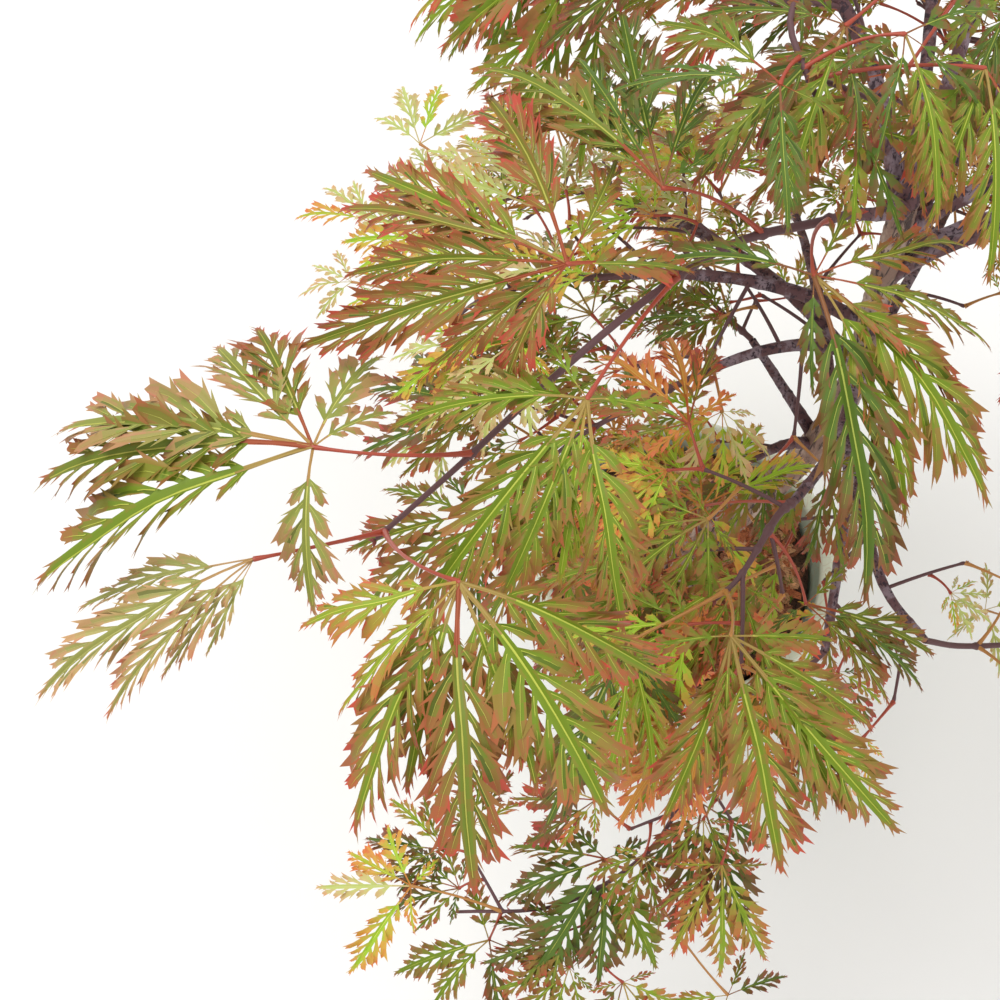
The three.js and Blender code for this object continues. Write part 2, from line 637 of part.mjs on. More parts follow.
// Foliage masses, with the leaves that the picture shows placed before the seeded ones
const stems = MASSES.map(({ stem }, i) => (stem.through ? shownStem(routes[i], stem)
  : droopingStem(routes[i], stem)));
const kept = MASSES.map(() => []);
const takenBy = MASSES.map(() => []);
function offer(leaf, i, shown) {
  const taken = [...alongLimbs, ...takenBy.flatMap((points, k) => (k === i ? [] : points))];
  const fitting = keepToSpace(leaf, taken, shown);
  if (!fitting) return;
  kept[i].push(fitting);
  takenBy[i].push(...samples(fitting));
}
MASSES.forEach(({ shown = [] }, i) => {
  for (const row of shown) {
    const leaf = shownLeaf(row);
    const from = row.joint ? stems[i].getPointAt(row.joint) : nearestJoint(stems[i], leaf.hub);
    offer({ ...leaf, from }, i, true);
  }
});
MASSES.forEach((mass, i) => {
  for (const leaf of seededLeaves(stems[i], mass)) offer(leaf, i, false);
});

// One mass: its stem with the petioles and leaves fused on, but for a leaf that would meet a neighbour
const twigs = stems.map((stem) => limb(stem, taper(TWIG_BASE, TWIG_TIP), TWIG_SIDES, TWIG_STEPS));
let growth = join([pot, soil, limbs]);
const masses = MASSES.map((mass, i) => {
  const others = join(twigs.filter((twig, k) => k !== i)).add(growth);
  let body = twigs[i];
  for (const leaf of kept[i]) {
    const piece = leafSolid(leaf).add(petiole(leaf.from, leaf.hub));
    if (piece.intersect(others).isEmpty()) body = body.add(piece);
  }
  const whole = largest(body.subtract(limbs));
  growth = growth.add(whole);
  return whole;
});

// Colours of the finished pieces
const paint = (color, roughness) => new THREE.MeshStandardMaterial({ color, roughness, metalness: 0 });
const glaze = paint('#8fbdb2', 0.25);
const mulch = paint('#5b3524', 0.95);
const bark = paint('#7b6a66', 0.85);
const youngBark = paint('#6a4b55', 0.6);
const foliage = paint('#5d7a33', 0.55);

const plant = new THREE.Group();
function place(name, body, material) {
  const mesh = new THREE.Mesh(toGeometry(body), material);
  mesh.name = name;
  plant.add(mesh);
}

place('pot', pot, glaze);
place('soil', soil, mulch);
place('trunk', trunk, bark);
MASSES.forEach(({ name }, i) => {
  place(`bough_${name}`, boughs[i], youngBark);
  place(`foliage_${name}`, masses[i], foliage);
});

export default plant;
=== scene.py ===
"""A young laceleaf Japanese maple in a glazed pot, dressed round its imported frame."""

import functools
import math
from typing import NamedTuple

import bmesh
import bpy
import numpy as np
from bpy.props import FloatProperty, FloatVectorProperty, IntProperty, PointerProperty
from bpy.types import Operator, Panel, PropertyGroup
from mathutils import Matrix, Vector, noise


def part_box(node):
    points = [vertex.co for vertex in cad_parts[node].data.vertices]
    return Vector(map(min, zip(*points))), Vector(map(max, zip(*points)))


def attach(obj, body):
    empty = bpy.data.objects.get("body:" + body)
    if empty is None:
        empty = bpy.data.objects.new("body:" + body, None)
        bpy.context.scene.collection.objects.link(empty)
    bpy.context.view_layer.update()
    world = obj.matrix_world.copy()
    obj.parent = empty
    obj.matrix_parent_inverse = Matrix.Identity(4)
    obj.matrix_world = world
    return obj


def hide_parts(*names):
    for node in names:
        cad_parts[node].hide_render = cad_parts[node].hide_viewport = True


bl_info = {
    "name": "Potted laceleaf maple",
    "version": (1, 0, 0),
    "blender": (4, 5, 0),
    "location": "3D View > Sidebar > Maple",
    "description": "A small laceleaf maple with its pot, mulch, wood, twigs and cut leaves",
    "category": "Add Mesh",
}

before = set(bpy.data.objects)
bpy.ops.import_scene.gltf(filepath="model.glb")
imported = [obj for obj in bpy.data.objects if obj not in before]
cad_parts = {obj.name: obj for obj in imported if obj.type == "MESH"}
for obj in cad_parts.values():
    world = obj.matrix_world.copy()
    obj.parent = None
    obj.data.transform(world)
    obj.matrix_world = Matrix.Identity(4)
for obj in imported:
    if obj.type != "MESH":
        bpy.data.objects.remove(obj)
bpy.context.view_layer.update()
_, pot_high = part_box("pot")
soil_low, soil_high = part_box("soil")

MM = 0.001
ROOT = "root"
UP = np.array([0.0, 0.0, 1.0])

# The camera, in millimetres, with pixels of a square picture
EYE = np.array([-100.4, -295.3, 1053.5])
LOOK_DOWN = math.radians(70)
FOCAL_PIXELS = 1750
PICTURE = 1000
SENSOR = 36
AHEAD = np.array([0, math.cos(LOOK_DOWN), -math.sin(LOOK_DOWN)])
ABOVE = np.array([0, math.sin(LOOK_DOWN), math.cos(LOOK_DOWN)])

# Windows of open sky in the picture, as left, top, right and bottom
OPEN_WINDOWS = (
    (0, 40, 322, 392), (310, 62, 470, 88), (0, 560, 300, 1000), (790, 850, 1000, 1000),
    (945, 655, 1000, 1000), (290, 700, 325, 870), (905, 300, 1000, 380), (905, 445, 1000, 565),
)

# Trunk, boughs and twigs, in millimetres
GROUND = 138
TRUNK_HEIGHT = 431
TRUNK_BASE = 8.2
TRUNK_TOP = 4.3
FLARE = 0.8
FLARE_HEIGHT = 13
ROOT_RIDGES = 4
RIDGE_DEPTH = 0.16
TRUNK_WANDER = (
    (0, 0, 0), (2, 1, 0.05), (24, 5, 0.18), (45, 6, 0.38), (47, 1, 0.56), (36, -11, 0.8), (27, -19, 1),
)
GAP = 0.3
BOUGH_BASE = 3.1
BOUGH_TIP = 1.7
BOUGH_CREST = 0.42
BOUGH_ARCH = 0.34
STEM_STEP = 30
TWIG_BASE = 1.5
TWIG_TIP = 0.75
SHOOT_BASE = 0.85
SHOOT_TIP = 0.6
PETIOLE_BASE = 0.68
PETIOLE_TIP = 0.45
PETIOLE_ARCH = 0.14
PETIOLE_BOW = 0.13

# Knots at a twig's joints: their reach along it in millimetres, how much they swell it, and how near
# a leaf has to start. Then a twig's rounded end, and a bud's places and radii for a size of one
KNOT_REACH = 1.1
KNOT_SWELL = 0.45
JOINT_REACH = 1.5
ROUNDED_END = 0.35
BUD_REACHES = (0.2, 0.7, 1.3, 2.0, 2.6)
BUD_GIRTHS = (0.55, 0.78, 0.72, 0.42, 0.08)

# Lobes: where each is widest, its arch, the fall of a shown leaf's lobes, the step from lobe to lobe
# in degrees and their lengths from the middle out, then the two small ones at the leaf's foot
WIDEST_AT = 0.62
LOBE_ARCH = 0.09
SHOWN_FALL = 0.25
LOBE_STEP = 29
LOBE_SHARES = (1, 0.93, 0.76, 0.5)
FOOT_LOBE = 0.42
FOOT_FALL = 0.12

# A leaf by rule: below what length in millimetres it has two lobes fewer, how uneven its lobes are in
# length, in direction and in fall, and the fewest lobes that a leaf may keep
SMALL_LEAF = 66
LOBE_UNEVEN = (0.92, 1.06)
LOBE_JITTER = 4
LEAST_FALL = 0.2
FALL_UNEVEN = 0.06
FEWEST_LOBES = 4

# Room between leaves across and upright, and between the hubs on a shoot and the others of its
# mass, in millimetres
ROOM_ACROSS = 15
ROOM_UPRIGHT = 6
SHOOT_ROOM = 17

# Least and most of what a stem's leaf draws: its spread in degrees, at the stem's end and elsewhere,
# its petiole, its size and its slope. Each second pair stands upright, the others lie level
END_SPREAD = (24, 40)
SPREAD = (52, 78)
UPRIGHT_CLIMB = 0.34
LEVEL_CLIMB = 0.12
PETIOLE_LENGTH = (30, 44)
LEAF_SIZE = (0.84, 1.12)
LEAF_SLOPE = (0.2, 0.42)

# The same for a side shoot: its spread, its climb and its length, then its two end leaves and the
# leaf halfway. INNER_SIZE is the leaves' size on a bough, as a share of that on its stem
SHOOT_SPREAD = (30, 85)
SHOOT_CLIMB = (-0.75, 0.3)
SHOOT_LENGTH = (20, 38)
END_LEAF = {"spread": (25, 60), "climb": (-0.25, 0.2), "petiole": (12, 22), "turn": (18, 50),
            "size": (0.62, 0.86), "slope": (0.3, 0.55)}
HALFWAY = 0.55
HALFWAY_LEAF = {"spread": (60, 100), "climb": (0, 0.3), "petiole": (12, 20), "turn": (40, 70),
                "size": (0.5, 0.7), "slope": (0.3, 0.5)}
INNER_SIZE = 0.85


def unit(vector):
    """The vector at length one."""
    return vector / np.linalg.norm(vector)


def heading(azimuth):
    """The level direction of an azimuth in degrees."""
    return np.array([math.cos(math.radians(azimuth)), math.sin(math.radians(azimuth)), 0.0])


def from_picture(pixel, height):
    """The place at a height that a pixel of the picture shows."""
    half = PICTURE / 2
    ray = AHEAD + ABOVE * (half - pixel[1]) / FOCAL_PIXELS
    ray = ray + np.array([(pixel[0] - half) / FOCAL_PIXELS, 0, 0])
    return EYE + ray * (height - EYE[2]) / ray[2]


def in_picture(place):
    """The pixel of the picture that shows a place."""
    seen = place - EYE
    scale = FOCAL_PIXELS / (seen @ AHEAD)
    return PICTURE / 2 + seen[0] * scale, PICTURE / 2 - (seen @ ABOVE) * scale


def is_open(place):
    """Whether a place shows in a window of open sky."""
    px, py = in_picture(place)
    return any(left < px < right and top < py < bottom for left, top, right, bottom in OPEN_WINDOWS)


def sampler(seed):
    """A source of numbers that gives the same row for the same seed."""
    state = [seed]

    def draw(low, high):
        state[0] = state[0] * 16807 % 2147483647
        return low + (high - low) * state[0] / 2147483647

    return draw


class Route:
    """A curve that is read by the share of its length."""

    DIVISIONS = 200

    def __init__(self, point_of):
        self.point_of = point_of
        self.shares = np.linspace(0, 1, self.DIVISIONS + 1)
        points = np.array([point_of(share) for share in self.shares])
        self.lengths = np.concatenate([[0], np.cumsum(np.linalg.norm(np.diff(points, axis=0), axis=1))])
        self.length = self.lengths[-1]

    def own_share(self, share):
        """The curve's own share at a share of its length."""
        return float(np.interp(share * self.length, self.lengths, self.shares))

    def at(self, share):
        """The place at a share of the length."""
        return self.point_of(self.own_share(share))

    def tangent(self, share):
        """The direction at a share of the length."""
        middle = self.own_share(share)
        low, high = max(middle - 1e-4, 0), min(middle + 1e-4, 1)
        return unit(self.point_of(high) - self.point_of(low))


def smooth_route(places):
    """A centripetal Catmull-Rom curve through places."""
    places = [np.array(place, float) for place in places]
    padded = [2 * places[0] - places[1], *places, 2 * places[-1] - places[-2]]

    def point_of(share):
        position = share * (len(places) - 1)
        first = min(int(position), len(places) - 2)
        p0, p1, p2, p3 = padded[first:first + 4]
        d0, d1, d2 = (max(np.linalg.norm(b - a), 1e-9) ** 0.5 for a, b in ((p0, p1), (p1, p2), (p2, p3)))
        start = d1 * ((p1 - p0) / d0 - (p2 - p0) / (d0 + d1) + (p2 - p1) / d1)
        end = d1 * ((p2 - p1) / d1 - (p3 - p1) / (d1 + d2) + (p3 - p2) / d2)
        t = position - first
        bend = -3 * p1 + 3 * p2 - 2 * start - end
        return p1 + start * t + bend * t ** 2 + (2 * p1 - 2 * p2 + start + end) * t ** 3

    return Route(point_of)


def bent_route(start, crest, end):
    """A quadratic curve from start to end that bends towards a crest."""
    return Route(lambda t: start * (1 - t) ** 2 + crest * 2 * t * (1 - t) + end * t ** 2)


trunk_route = smooth_route([(x, y, GROUND + share * TRUNK_HEIGHT) for x, y, share in TRUNK_WANDER])


def on_trunk(height):
    """The trunk's centre at a height."""
    low, high = 0.0, 1.0
    for _ in range(30):
        middle = (low + high) / 2
        if trunk_route.at(middle)[2] < height:
            low = middle
        else:
            high = middle
    return trunk_route.at(low)


def arched_bough(start_height, azimuth, reach, lift):
    """A bough that rises from the trunk and arches over."""
    start = on_trunk(start_height)
    end = start + heading(azimuth) * reach + UP * lift
    crest = start + heading(azimuth) * reach * BOUGH_CREST + UP * (max(lift, 0) + reach * BOUGH_ARCH)
    return bent_route(start, crest, end)


def shown_bough(start_height, *through):
    """A bough through pixels with heights."""
    return smooth_route([on_trunk(start_height), *(from_picture(row[:2], row[2]) for row in through)])


def drooping_stem(bough, length, droop, swing):
    """A mass's stem, which leaves its bough's tip in line and bends down as it grows."""
    line = bough.tangent(1)
    places = [bough.at(1) + line * GAP]
    steps = max(3, math.floor(length / STEM_STEP + 0.5))
    tilt = math.degrees(math.asin(line[2]))
    azimuth = math.degrees(math.atan2(line[1], line[0]))
    for _ in range(steps):
        way = heading(azimuth) * math.cos(math.radians(tilt)) + UP * math.sin(math.radians(tilt))
        places.append(places[-1] + way * length / steps)
        tilt -= droop / steps
        azimuth += swing / steps
    return smooth_route(places)


def shown_stem(bough, through):
    """A stem through pixels with heights."""
    start = bough.at(1) + bough.tangent(1) * GAP
    return smooth_route([start, *(from_picture(row[:2], row[2]) for row in through)])


def make_lobe(hub, tip):
    """One lobe's line: it arches up from the hub and over to its tip."""
    length = np.linalg.norm(tip - hub)
    middle = hub + (tip - hub) * WIDEST_AT + UP * LOBE_ARCH * length
    return {"hub": hub, "middle": middle, "tip": tip, "length": length}


def shown_leaf(row):
    """A leaf that the picture shows, from its hub and the tips of its lobes."""
    px, py, height = row.hub
    hub = from_picture((px, py), height)
    lobes = []
    for tip in row.tips:
        level = np.linalg.norm(from_picture(tip, height) - hub)
        lobes.append(make_lobe(hub, from_picture(tip, height - SHOWN_FALL * level)))
    return {"hub": hub, "lobes": lobes, "tint": row.tint, "broad": row.broad, "ripe": row.ripe}


def ruled_leaf(hub, azimuth, length, slope, draw):
    """A leaf by rule: lobes spread round the way that it points, all bending down."""
    outer = 2 if length < SMALL_LEAF else 3
    lobes = []
    for order in range(-outer, outer + 1):
        reach = length * LOBE_SHARES[abs(order)] * draw(*LOBE_UNEVEN)
        way = heading(azimuth + order * LOBE_STEP + draw(-LOBE_JITTER, LOBE_JITTER))
        level = math.cos(math.radians(order * LOBE_STEP))
        fall = slope * level + LEAST_FALL + draw(-FALL_UNEVEN, FALL_UNEVEN)
        lobes.append(make_lobe(hub, hub + way * reach - UP * fall * reach))
    for hand in (1, -1):
        reach = length * FOOT_LOBE * (1 if outer == 2 else 0.8)
        way = heading(azimuth + hand * ((outer + 1) * LOBE_STEP + 4))
        lobes.append({**make_lobe(hub, hub + way * reach - UP * FOOT_FALL * reach), "small": True})
    return {"hub": hub, "lobes": lobes, "tint": None, "broad": 1, "ripe": 0}


def seeded_leaves(stem, seed, pairs, size, span):
    """Pairs of leaves at each joint of a stem, turned a quarter each time."""
    draw = sampler(seed)
    leaves = []
    for joint in range(pairs):
        share = span[0] + (span[1] - span[0]) * (joint + draw(0.3, 0.7)) / pairs
        place, line = stem.at(share), stem.tangent(share)
        ahead = math.degrees(math.atan2(line[1], line[0]))
        for hand in (1, -1):
            spread = hand * draw(*(END_SPREAD if joint == pairs - 1 else SPREAD))
            reach = draw(*PETIOLE_LENGTH)
            climb = (hand * UPRIGHT_CLIMB if joint % 2 else LEVEL_CLIMB) + draw(-0.1, 0.1)
            hub = place + unit(heading(ahead + spread) + UP * climb) * reach
            azimuth = ahead + spread * 0.72 + draw(-10, 10)
            leaf = ruled_leaf(hub, azimuth, size * draw(*LEAF_SIZE), draw(*LEAF_SLOPE), draw)
            leaves.append({**leaf, "from": place})
    return leaves


class Leaf(NamedTuple):
    """A leaf that the picture shows: its hub's pixel and height, its tint and its lobes' tips.

    Its lobes are broad times the usual breadth and ripe levels redder, and joint is the share of
    the stem where its petiole starts, if that isn't the nearest place.
    """

    hub: tuple
    tint: str
    tips: tuple
    broad: float = 1
    ripe: float = 0
    joint: float = None


FRONT_LEFT_LEAVES = (
    # The first two leaves take the painted-glare tints, paler where strong light washes them out
    Leaf((313, 447, 622), "dusty", (
        (213, 339), (254, 320), (385, 350), (400, 410), (48, 423), (26, 480), (22, 583), (314, 620)),
        joint=0.8, broad=1.34),
    Leaf((254, 559, 612), "straw", ((27, 701), (99, 723), (70, 608), (204, 659), (156, 682)),
         joint=0.98, broad=0.7),
    Leaf((459, 582, 640), "mid", (
        (293, 625), (330, 715), (345, 840), (404, 800), (480, 905), (546, 800), (612, 825), (675, 690)),
        joint=0.98, broad=1.2),
    Leaf((587, 399, 636), "mid", (
        (471, 381), (380, 430), (420, 610), (500, 605), (560, 590), (630, 640), (684, 417), (542, 332)),
        joint=0.38, broad=1.04, ripe=-0.4),
    Leaf((567, 264, 642), "bronze", (
        (330, 204), (354, 166), (284, 352), (335, 274), (500, 400), (620, 150), (700, 270), (476, 86),
        (424, 372)), joint=0.38, broad=1.0),
    Leaf((663, 188, 644), "deep", ((474, 59), (512, 109), (575, 48), (620, 0), (718, 63), (741, 140)),
         joint=0.2, broad=0.9, ripe=-0.9),
    Leaf((814, 276, 634), "bronze", (
        (855, 185), (975, 240), (1000, 345), (992, 425), (998, 510), (912, 530), (872, 612), (812, 400),
        (628, 265)), joint=0.06, broad=0.9),
)
TOP_LEAVES = (
    Leaf((780, 84, 664), "deep", ((600, 90), (650, 20), (790, 240), (700, 170), (860, 130)), ripe=-0.7),
    Leaf((905, 34, 668), "deep", ((830, 75), (870, 170), (940, 230), (990, 120), (1010, 10)), ripe=-0.7),
    Leaf((985, 68, 662), "mid", ((903, 150), (925, 235), (990, 288), (1040, 200), (925, 62)), ripe=-0.4),
    Leaf((1012, -8, 656), "bronze", ((945, 165), (1000, 190), (935, 60), (1080, 120), (1100, 0))),
)
FRONT_LEAVES = (
    Leaf((628, 642, 486), "olive", ((545, 842), (602, 800), (655, 800), (690, 740), (560, 690))),
    Leaf((731, 636, 520), "mid", (
        (659, 831), (722, 800), (785, 881), (846, 815), (906, 841), (880, 730), (841, 640), (640, 650)),
        broad=1.12),
    Leaf((702, 506, 440), "fresh", (
        (600, 450), (645, 412), (690, 400), (765, 420), (823, 462), (760, 590), (700, 620), (610, 560)),
        ripe=-0.5),
    Leaf((806, 604, 462), "bronze", ((940, 657), (929, 692), (894, 707), (850, 560), (760, 640))),
)
LOW_FRONT_LEAVES = (
    Leaf((605, 859, 250), "deep", (
        (494, 900), (506, 845), (534, 978), (600, 992), (660, 972), (565, 822), (650, 840)),
        broad=1.4, ripe=-0.5),
    Leaf((702, 804, 275), "deep", ((634, 884), (678, 948), (748, 936), (772, 850), (700, 740)),
         broad=1.1, ripe=-0.3),
    Leaf((489, 940, 215), "mid", ((390, 975), (430, 1010), (500, 1035), (560, 980), (470, 870)),
         broad=1.15, ripe=-0.4),
    Leaf((411, 886, 240), "pale", ((312, 888), (348, 978), (414, 936), (440, 858), (345, 850), (386, 822)),
         broad=1.15),
    Leaf((728, 995, 222), "mid", ((665, 1000), (700, 1060), (790, 975), (745, 950))),
)
LEFT_LEAVES = (
    Leaf((440, 430, 332), "pale", ((380, 470), (395, 400), (450, 360), (500, 430), (440, 500))),
    Leaf((352, 282, 335), "pale", ((296, 296), (310, 264), (336, 248), (316, 320), (385, 300))),
)
LOW_BACK_LEFT_LEAVES = (
    Leaf((420, 144, 345), "pale", ((372, 116), (402, 82), (442, 80), (482, 112))),
    Leaf((370, 222, 340), "pale", ((292, 218), (320, 186), (352, 178), (322, 250), (410, 270))),
)
INNER_BACK_LEAVES = (
    Leaf((685, 309, 340), "pale", ((620, 300), (650, 350), (690, 370), (740, 330), (700, 260))),
)
LOW_RIGHT_LEAVES = (
    Leaf((985, 610, 262), "pale", ((945, 640), (950, 600), (985, 560), (1040, 600), (1000, 680))),
)


class Mass(NamedTuple):
    """A mass of foliage, with its bough, its seed and the tints that its leaves are dealt.

    Its stem runs through pixels with heights, or has a length, a droop and a swing in degrees. Beside
    the leaves that the picture shows, it has pairs of leaves of a size by rule within a span of the
    stem, and side shoots on its bough (inner, from inner_from on) and on its stem. broad and ripe
    work as for a leaf.
    """

    bough: Route
    seed: int
    tints: tuple
    through: tuple = ()
    droop: tuple = ()
    shown: tuple = ()
    pairs: int = 0
    size: float = SMALL_LEAF
    span: tuple = (0.12, 1)
    inner: int = 0
    inner_from: float = 0.5
    shoots: int = 0
    broad: float = 1
    ripe: float = 0


MASSES = {
    "front_left": Mass(
        shown_bough(566, (880, 214, 584), (852, 214, 592)), 11, ("mid", "deep", "bronze"),
        through=((820, 222, 600), (735, 243, 612), (643, 302, 622), (545, 385, 622), (465, 460, 612),
                 (375, 540, 596)), shown=FRONT_LEFT_LEAVES),
    "top": Mass(
        arched_bough(569, 74, 34, 58), 23, ("deep", "mid", "deep", "bronze"),
        through=((900, -40, 650), (815, -20, 658), (790, 20, 660), (812, 86, 656), (822, 112, 650)),
        shown=TOP_LEAVES, pairs=2, span=(0, 0.4), size=62, shoots=6, ripe=-0.6),
    "back_left": Mass(
        arched_bough(552, 124, 84, 56), 35, ("mid", "deep", "olive"), droop=(125, 60, -14),
        pairs=4, size=68, inner=4, shoots=6, ripe=-0.8),
    "right": Mass(
        arched_bough(540, 2, 80, 40), 47, ("deep", "mid", "bronze"), droop=(130, 62, 10),
        pairs=4, size=68, inner=5, shoots=7),
    "back_right": Mass(
        arched_bough(528, 44, 80, 78), 59, ("deep", "mid", "olive"), droop=(125, 64, -12),
        pairs=4, size=68, inner=5, shoots=7),
    "back": Mass(
        arched_bough(516, 84, 92, 52), 61, ("mid", "deep", "bronze"), droop=(125, 62, 10),
        pairs=4, size=68, inner=5, shoots=7),
    "front_right": Mass(
        arched_bough(504, -40, 84, 92), 73, ("deep", "bronze", "mid"), droop=(115, 66, 8),
        pairs=4, inner=4, shoots=6),
    "front": Mass(
        shown_bough(440, (845, 420, 458), (823, 465, 470), (795, 500, 480)), 85, ("fresh", "mid", "rust"),
        through=((780, 513, 484), (737, 580, 490), (715, 600, 488)), shown=FRONT_LEAVES,
        shoots=5, broad=1.1),
    "mid_left": Mass(
        arched_bough(412, 196, 74, 30), 205, ("mid", "olive", "bronze"), droop=(84, 50, -16),
        pairs=3, size=58, inner=5, inner_from=0.25, shoots=5),
    "left": Mass(
        arched_bough(452, 167, 92, 4), 97, ("fresh", "pale"), droop=(120, 52, -14), shown=LEFT_LEAVES,
        pairs=2, size=56, inner=7, inner_from=0.15, shoots=5),
    "mid_right": Mass(
        arched_bough(516, 16, 88, 4), 109, ("mid", "olive", "fresh"), droop=(116, 50, -50),
        pairs=3, size=62, inner=4, shoots=6),
    "mid_back": Mass(
        arched_bough(464, 70, 100, 16), 121, ("olive", "fresh", "mid"), droop=(110, 50, 8),
        pairs=3, size=62, inner=5, shoots=6),
    "low_front": Mass(
        arched_bough(372, 262, 112, -8), 133, ("olive", "mid", "deep", "mid"),
        through=((700, 770, 296), (650, 850, 262), (560, 905, 238), (455, 912, 232)),
        shown=LOW_FRONT_LEAVES, size=60, inner=2, shoots=5, broad=1.1),
    "inner_front": Mass(
        arched_bough(300, 208, 52, 22), 217, ("rust", "fresh", "rust", "olive"), droop=(66, 46, 10),
        pairs=3, size=50, inner=2, shoots=5),
    "low_right": Mass(
        shown_bough(340, (858, 500, 352), (886, 590, 344), (925, 640, 326)), 145, ("fresh", "pale", "olive"),
        through=((960, 646, 314), (1040, 640, 300), (1130, 610, 280)), shown=LOW_RIGHT_LEAVES,
        pairs=2, size=52, inner=3, shoots=4),
    "low_back_left": Mass(
        arched_bough(400, 138, 120, -8), 157, ("pale", "fresh"), droop=(96, 44, 6),
        shown=LOW_BACK_LEFT_LEAVES, pairs=1, size=52, inner=4, shoots=5),
    "inner_back": Mass(
        shown_bough(306, (785, 390, 330), (752, 340, 345)), 169, ("fresh", "pale"),
        through=((725, 315, 348), (700, 290, 346)), shown=INNER_BACK_LEAVES, pairs=1, size=46, shoots=2),
    "low_back": Mass(
        arched_bough(330, 96, 112, 0), 181, ("fresh", "pale", "olive"), droop=(84, 48, -6),
        pairs=2, size=54, inner=4, shoots=5),
    "low_back_right": Mass(
        arched_bough(354, 60, 100, 6), 193, ("fresh", "olive"), droop=(110, 48, -70),
        pairs=3, size=56, inner=4, shoots=5),
}


def leaf_points(leaf):
    """Points along a leaf that its own space is measured from."""
    points = [leaf["hub"]]
    for lobe in leaf["lobes"]:
        if not lobe.get("small"):
            points += [leaf["hub"] * 0.4 + lobe["middle"] * 0.6, lobe["middle"], lobe["tip"]]
    return points


def kept_to_space(leaf, taken, shown):
    """The leaf without the lobes that would enter a neighbour's space or the open sky, or None."""
    def barred(point):
        if not shown and is_open(point):
            return True
        apart = taken - point
        near = (np.abs(apart[:, 2]) < ROOM_UPRIGHT) & (np.hypot(apart[:, 0], apart[:, 1]) < ROOM_ACROSS)
        return bool(near.any())

    lobes = [lobe for lobe in leaf["lobes"] if not barred(lobe["middle"]) and not barred(lobe["tip"])]
    if barred(leaf["hub"]) or sum(not lobe.get("small") for lobe in lobes) < FEWEST_LOBES:
        return None
    return {**leaf, "lobes": lobes}


def nearest_joint(stem, hub):
    """The place on a stem nearest to a leaf's hub, a little towards the stem's root."""
    shares = np.arange(0.05, 0.98, 0.03)
    best = min(shares, key=lambda share: np.linalg.norm(stem.at(share) - hub))
    return stem.at(max(0.05, best - 0.04))


def shoot_leaf(base, ahead, hand, size, rule, draw):
    """One leaf of a side shoot, on the side that hand gives."""
    out = unit(heading(ahead + hand * draw(*rule["spread"])) + UP * draw(*rule["climb"]))
    hub = base + out * draw(*rule["petiole"])
    azimuth = ahead + hand * draw(*rule["turn"])
    return {**ruled_leaf(hub, azimuth, size * draw(*rule["size"]), draw(*rule["slope"]), draw), "from": base}


def side_shoots(route, seed, count, size, first=0.08, last=0.96):
    """Finer twigs that leave a limb by turns, each with a few smaller leaves."""
    draw = sampler(seed + 1000)
    shoots = []
    for joint in range(count):
        share = first + (last - first) * (joint + draw(0.2, 0.8)) / count
        place, line = route.at(share), route.tangent(share)
        hand = 1 if joint % 2 else -1
        turned = math.degrees(math.atan2(line[1], line[0])) + hand * draw(*SHOOT_SPREAD)
        end = place + unit(heading(turned) + UP * draw(*SHOOT_CLIMB)) * draw(*SHOOT_LENGTH)
        leaves = [shoot_leaf(end, turned, side, size, END_LEAF, draw) for side in (1, -1)]
        halfway = place + (end - place) * HALFWAY
        leaves.append(shoot_leaf(halfway, turned, -hand, size, HALFWAY_LEAF, draw))
        shoots.append({"from": place, "to": end, "leaves": leaves})
    return shoots


@functools.lru_cache(maxsize=1)
def grown_crown():
    """The whole crown: each mass's bough, stem, shoots and kept leaves, shown leaves placed first."""
    crown = {}
    for name, mass in MASSES.items():
        bough = mass.bough
        stem = shown_stem(bough, mass.through) if mass.through else drooping_stem(bough, *mass.droop)
        crown[name] = {"bough": bough, "stem": stem, "leaves": [], "shoots": []}
    along_limbs = [part["bough"].at(step / 12) for part in crown.values() for step in range(3, 12)]
    taken_by = {name: [] for name in MASSES}

    def offer(leaf, name, shown):
        taken = along_limbs + [point for other, row in taken_by.items() if other != name for point in row]
        fitting = kept_to_space(leaf, np.array(taken), shown)
        if fitting:
            crown[name]["leaves"].append(fitting)
            taken_by[name] += leaf_points(fitting)
        return fitting

    for name, mass in MASSES.items():
        stem = crown[name]["stem"]
        for row in mass.shown:
            leaf = shown_leaf(row)
            start = nearest_joint(stem, leaf["hub"]) if row.joint is None else stem.at(row.joint)
            offer({**leaf, "from": start}, name, True)
    for name, mass in MASSES.items():
        for leaf in seeded_leaves(crown[name]["stem"], mass.seed, mass.pairs, mass.size, mass.span):
            offer(leaf, name, False)
    for name, mass in MASSES.items():
        part = crown[name]
        shoots = side_shoots(part["stem"], mass.seed, mass.shoots, mass.size)
        shoots += side_shoots(part["bough"], mass.seed + 7, mass.inner, mass.size * INNER_SIZE,
                              mass.inner_from, 0.95)
        for shoot in shoots:
            hubs = np.array([leaf["hub"] for leaf in part["leaves"]] or [UP * 1e6])
            clear = [leaf for leaf in shoot["leaves"]
                     if np.linalg.norm(hubs - leaf["hub"], axis=1).min() > SHOOT_ROOM]
            if any([offer(leaf, name, False) for leaf in clear]):
                part["shoots"].append(shoot)
    return crown


def petiole_route(start, hub, bow=0):
    """A leaf's stalk: it rises from its twig, bows to a side and bends over to the hub."""
    span = hub - start
    crest = (start + hub) / 2 + UP * np.linalg.norm(span) * PETIOLE_ARCH
    if bow:
        crest = crest + unit(np.cross(span, UP)) * np.linalg.norm(span) * bow
    return bent_route(start, crest, hub)


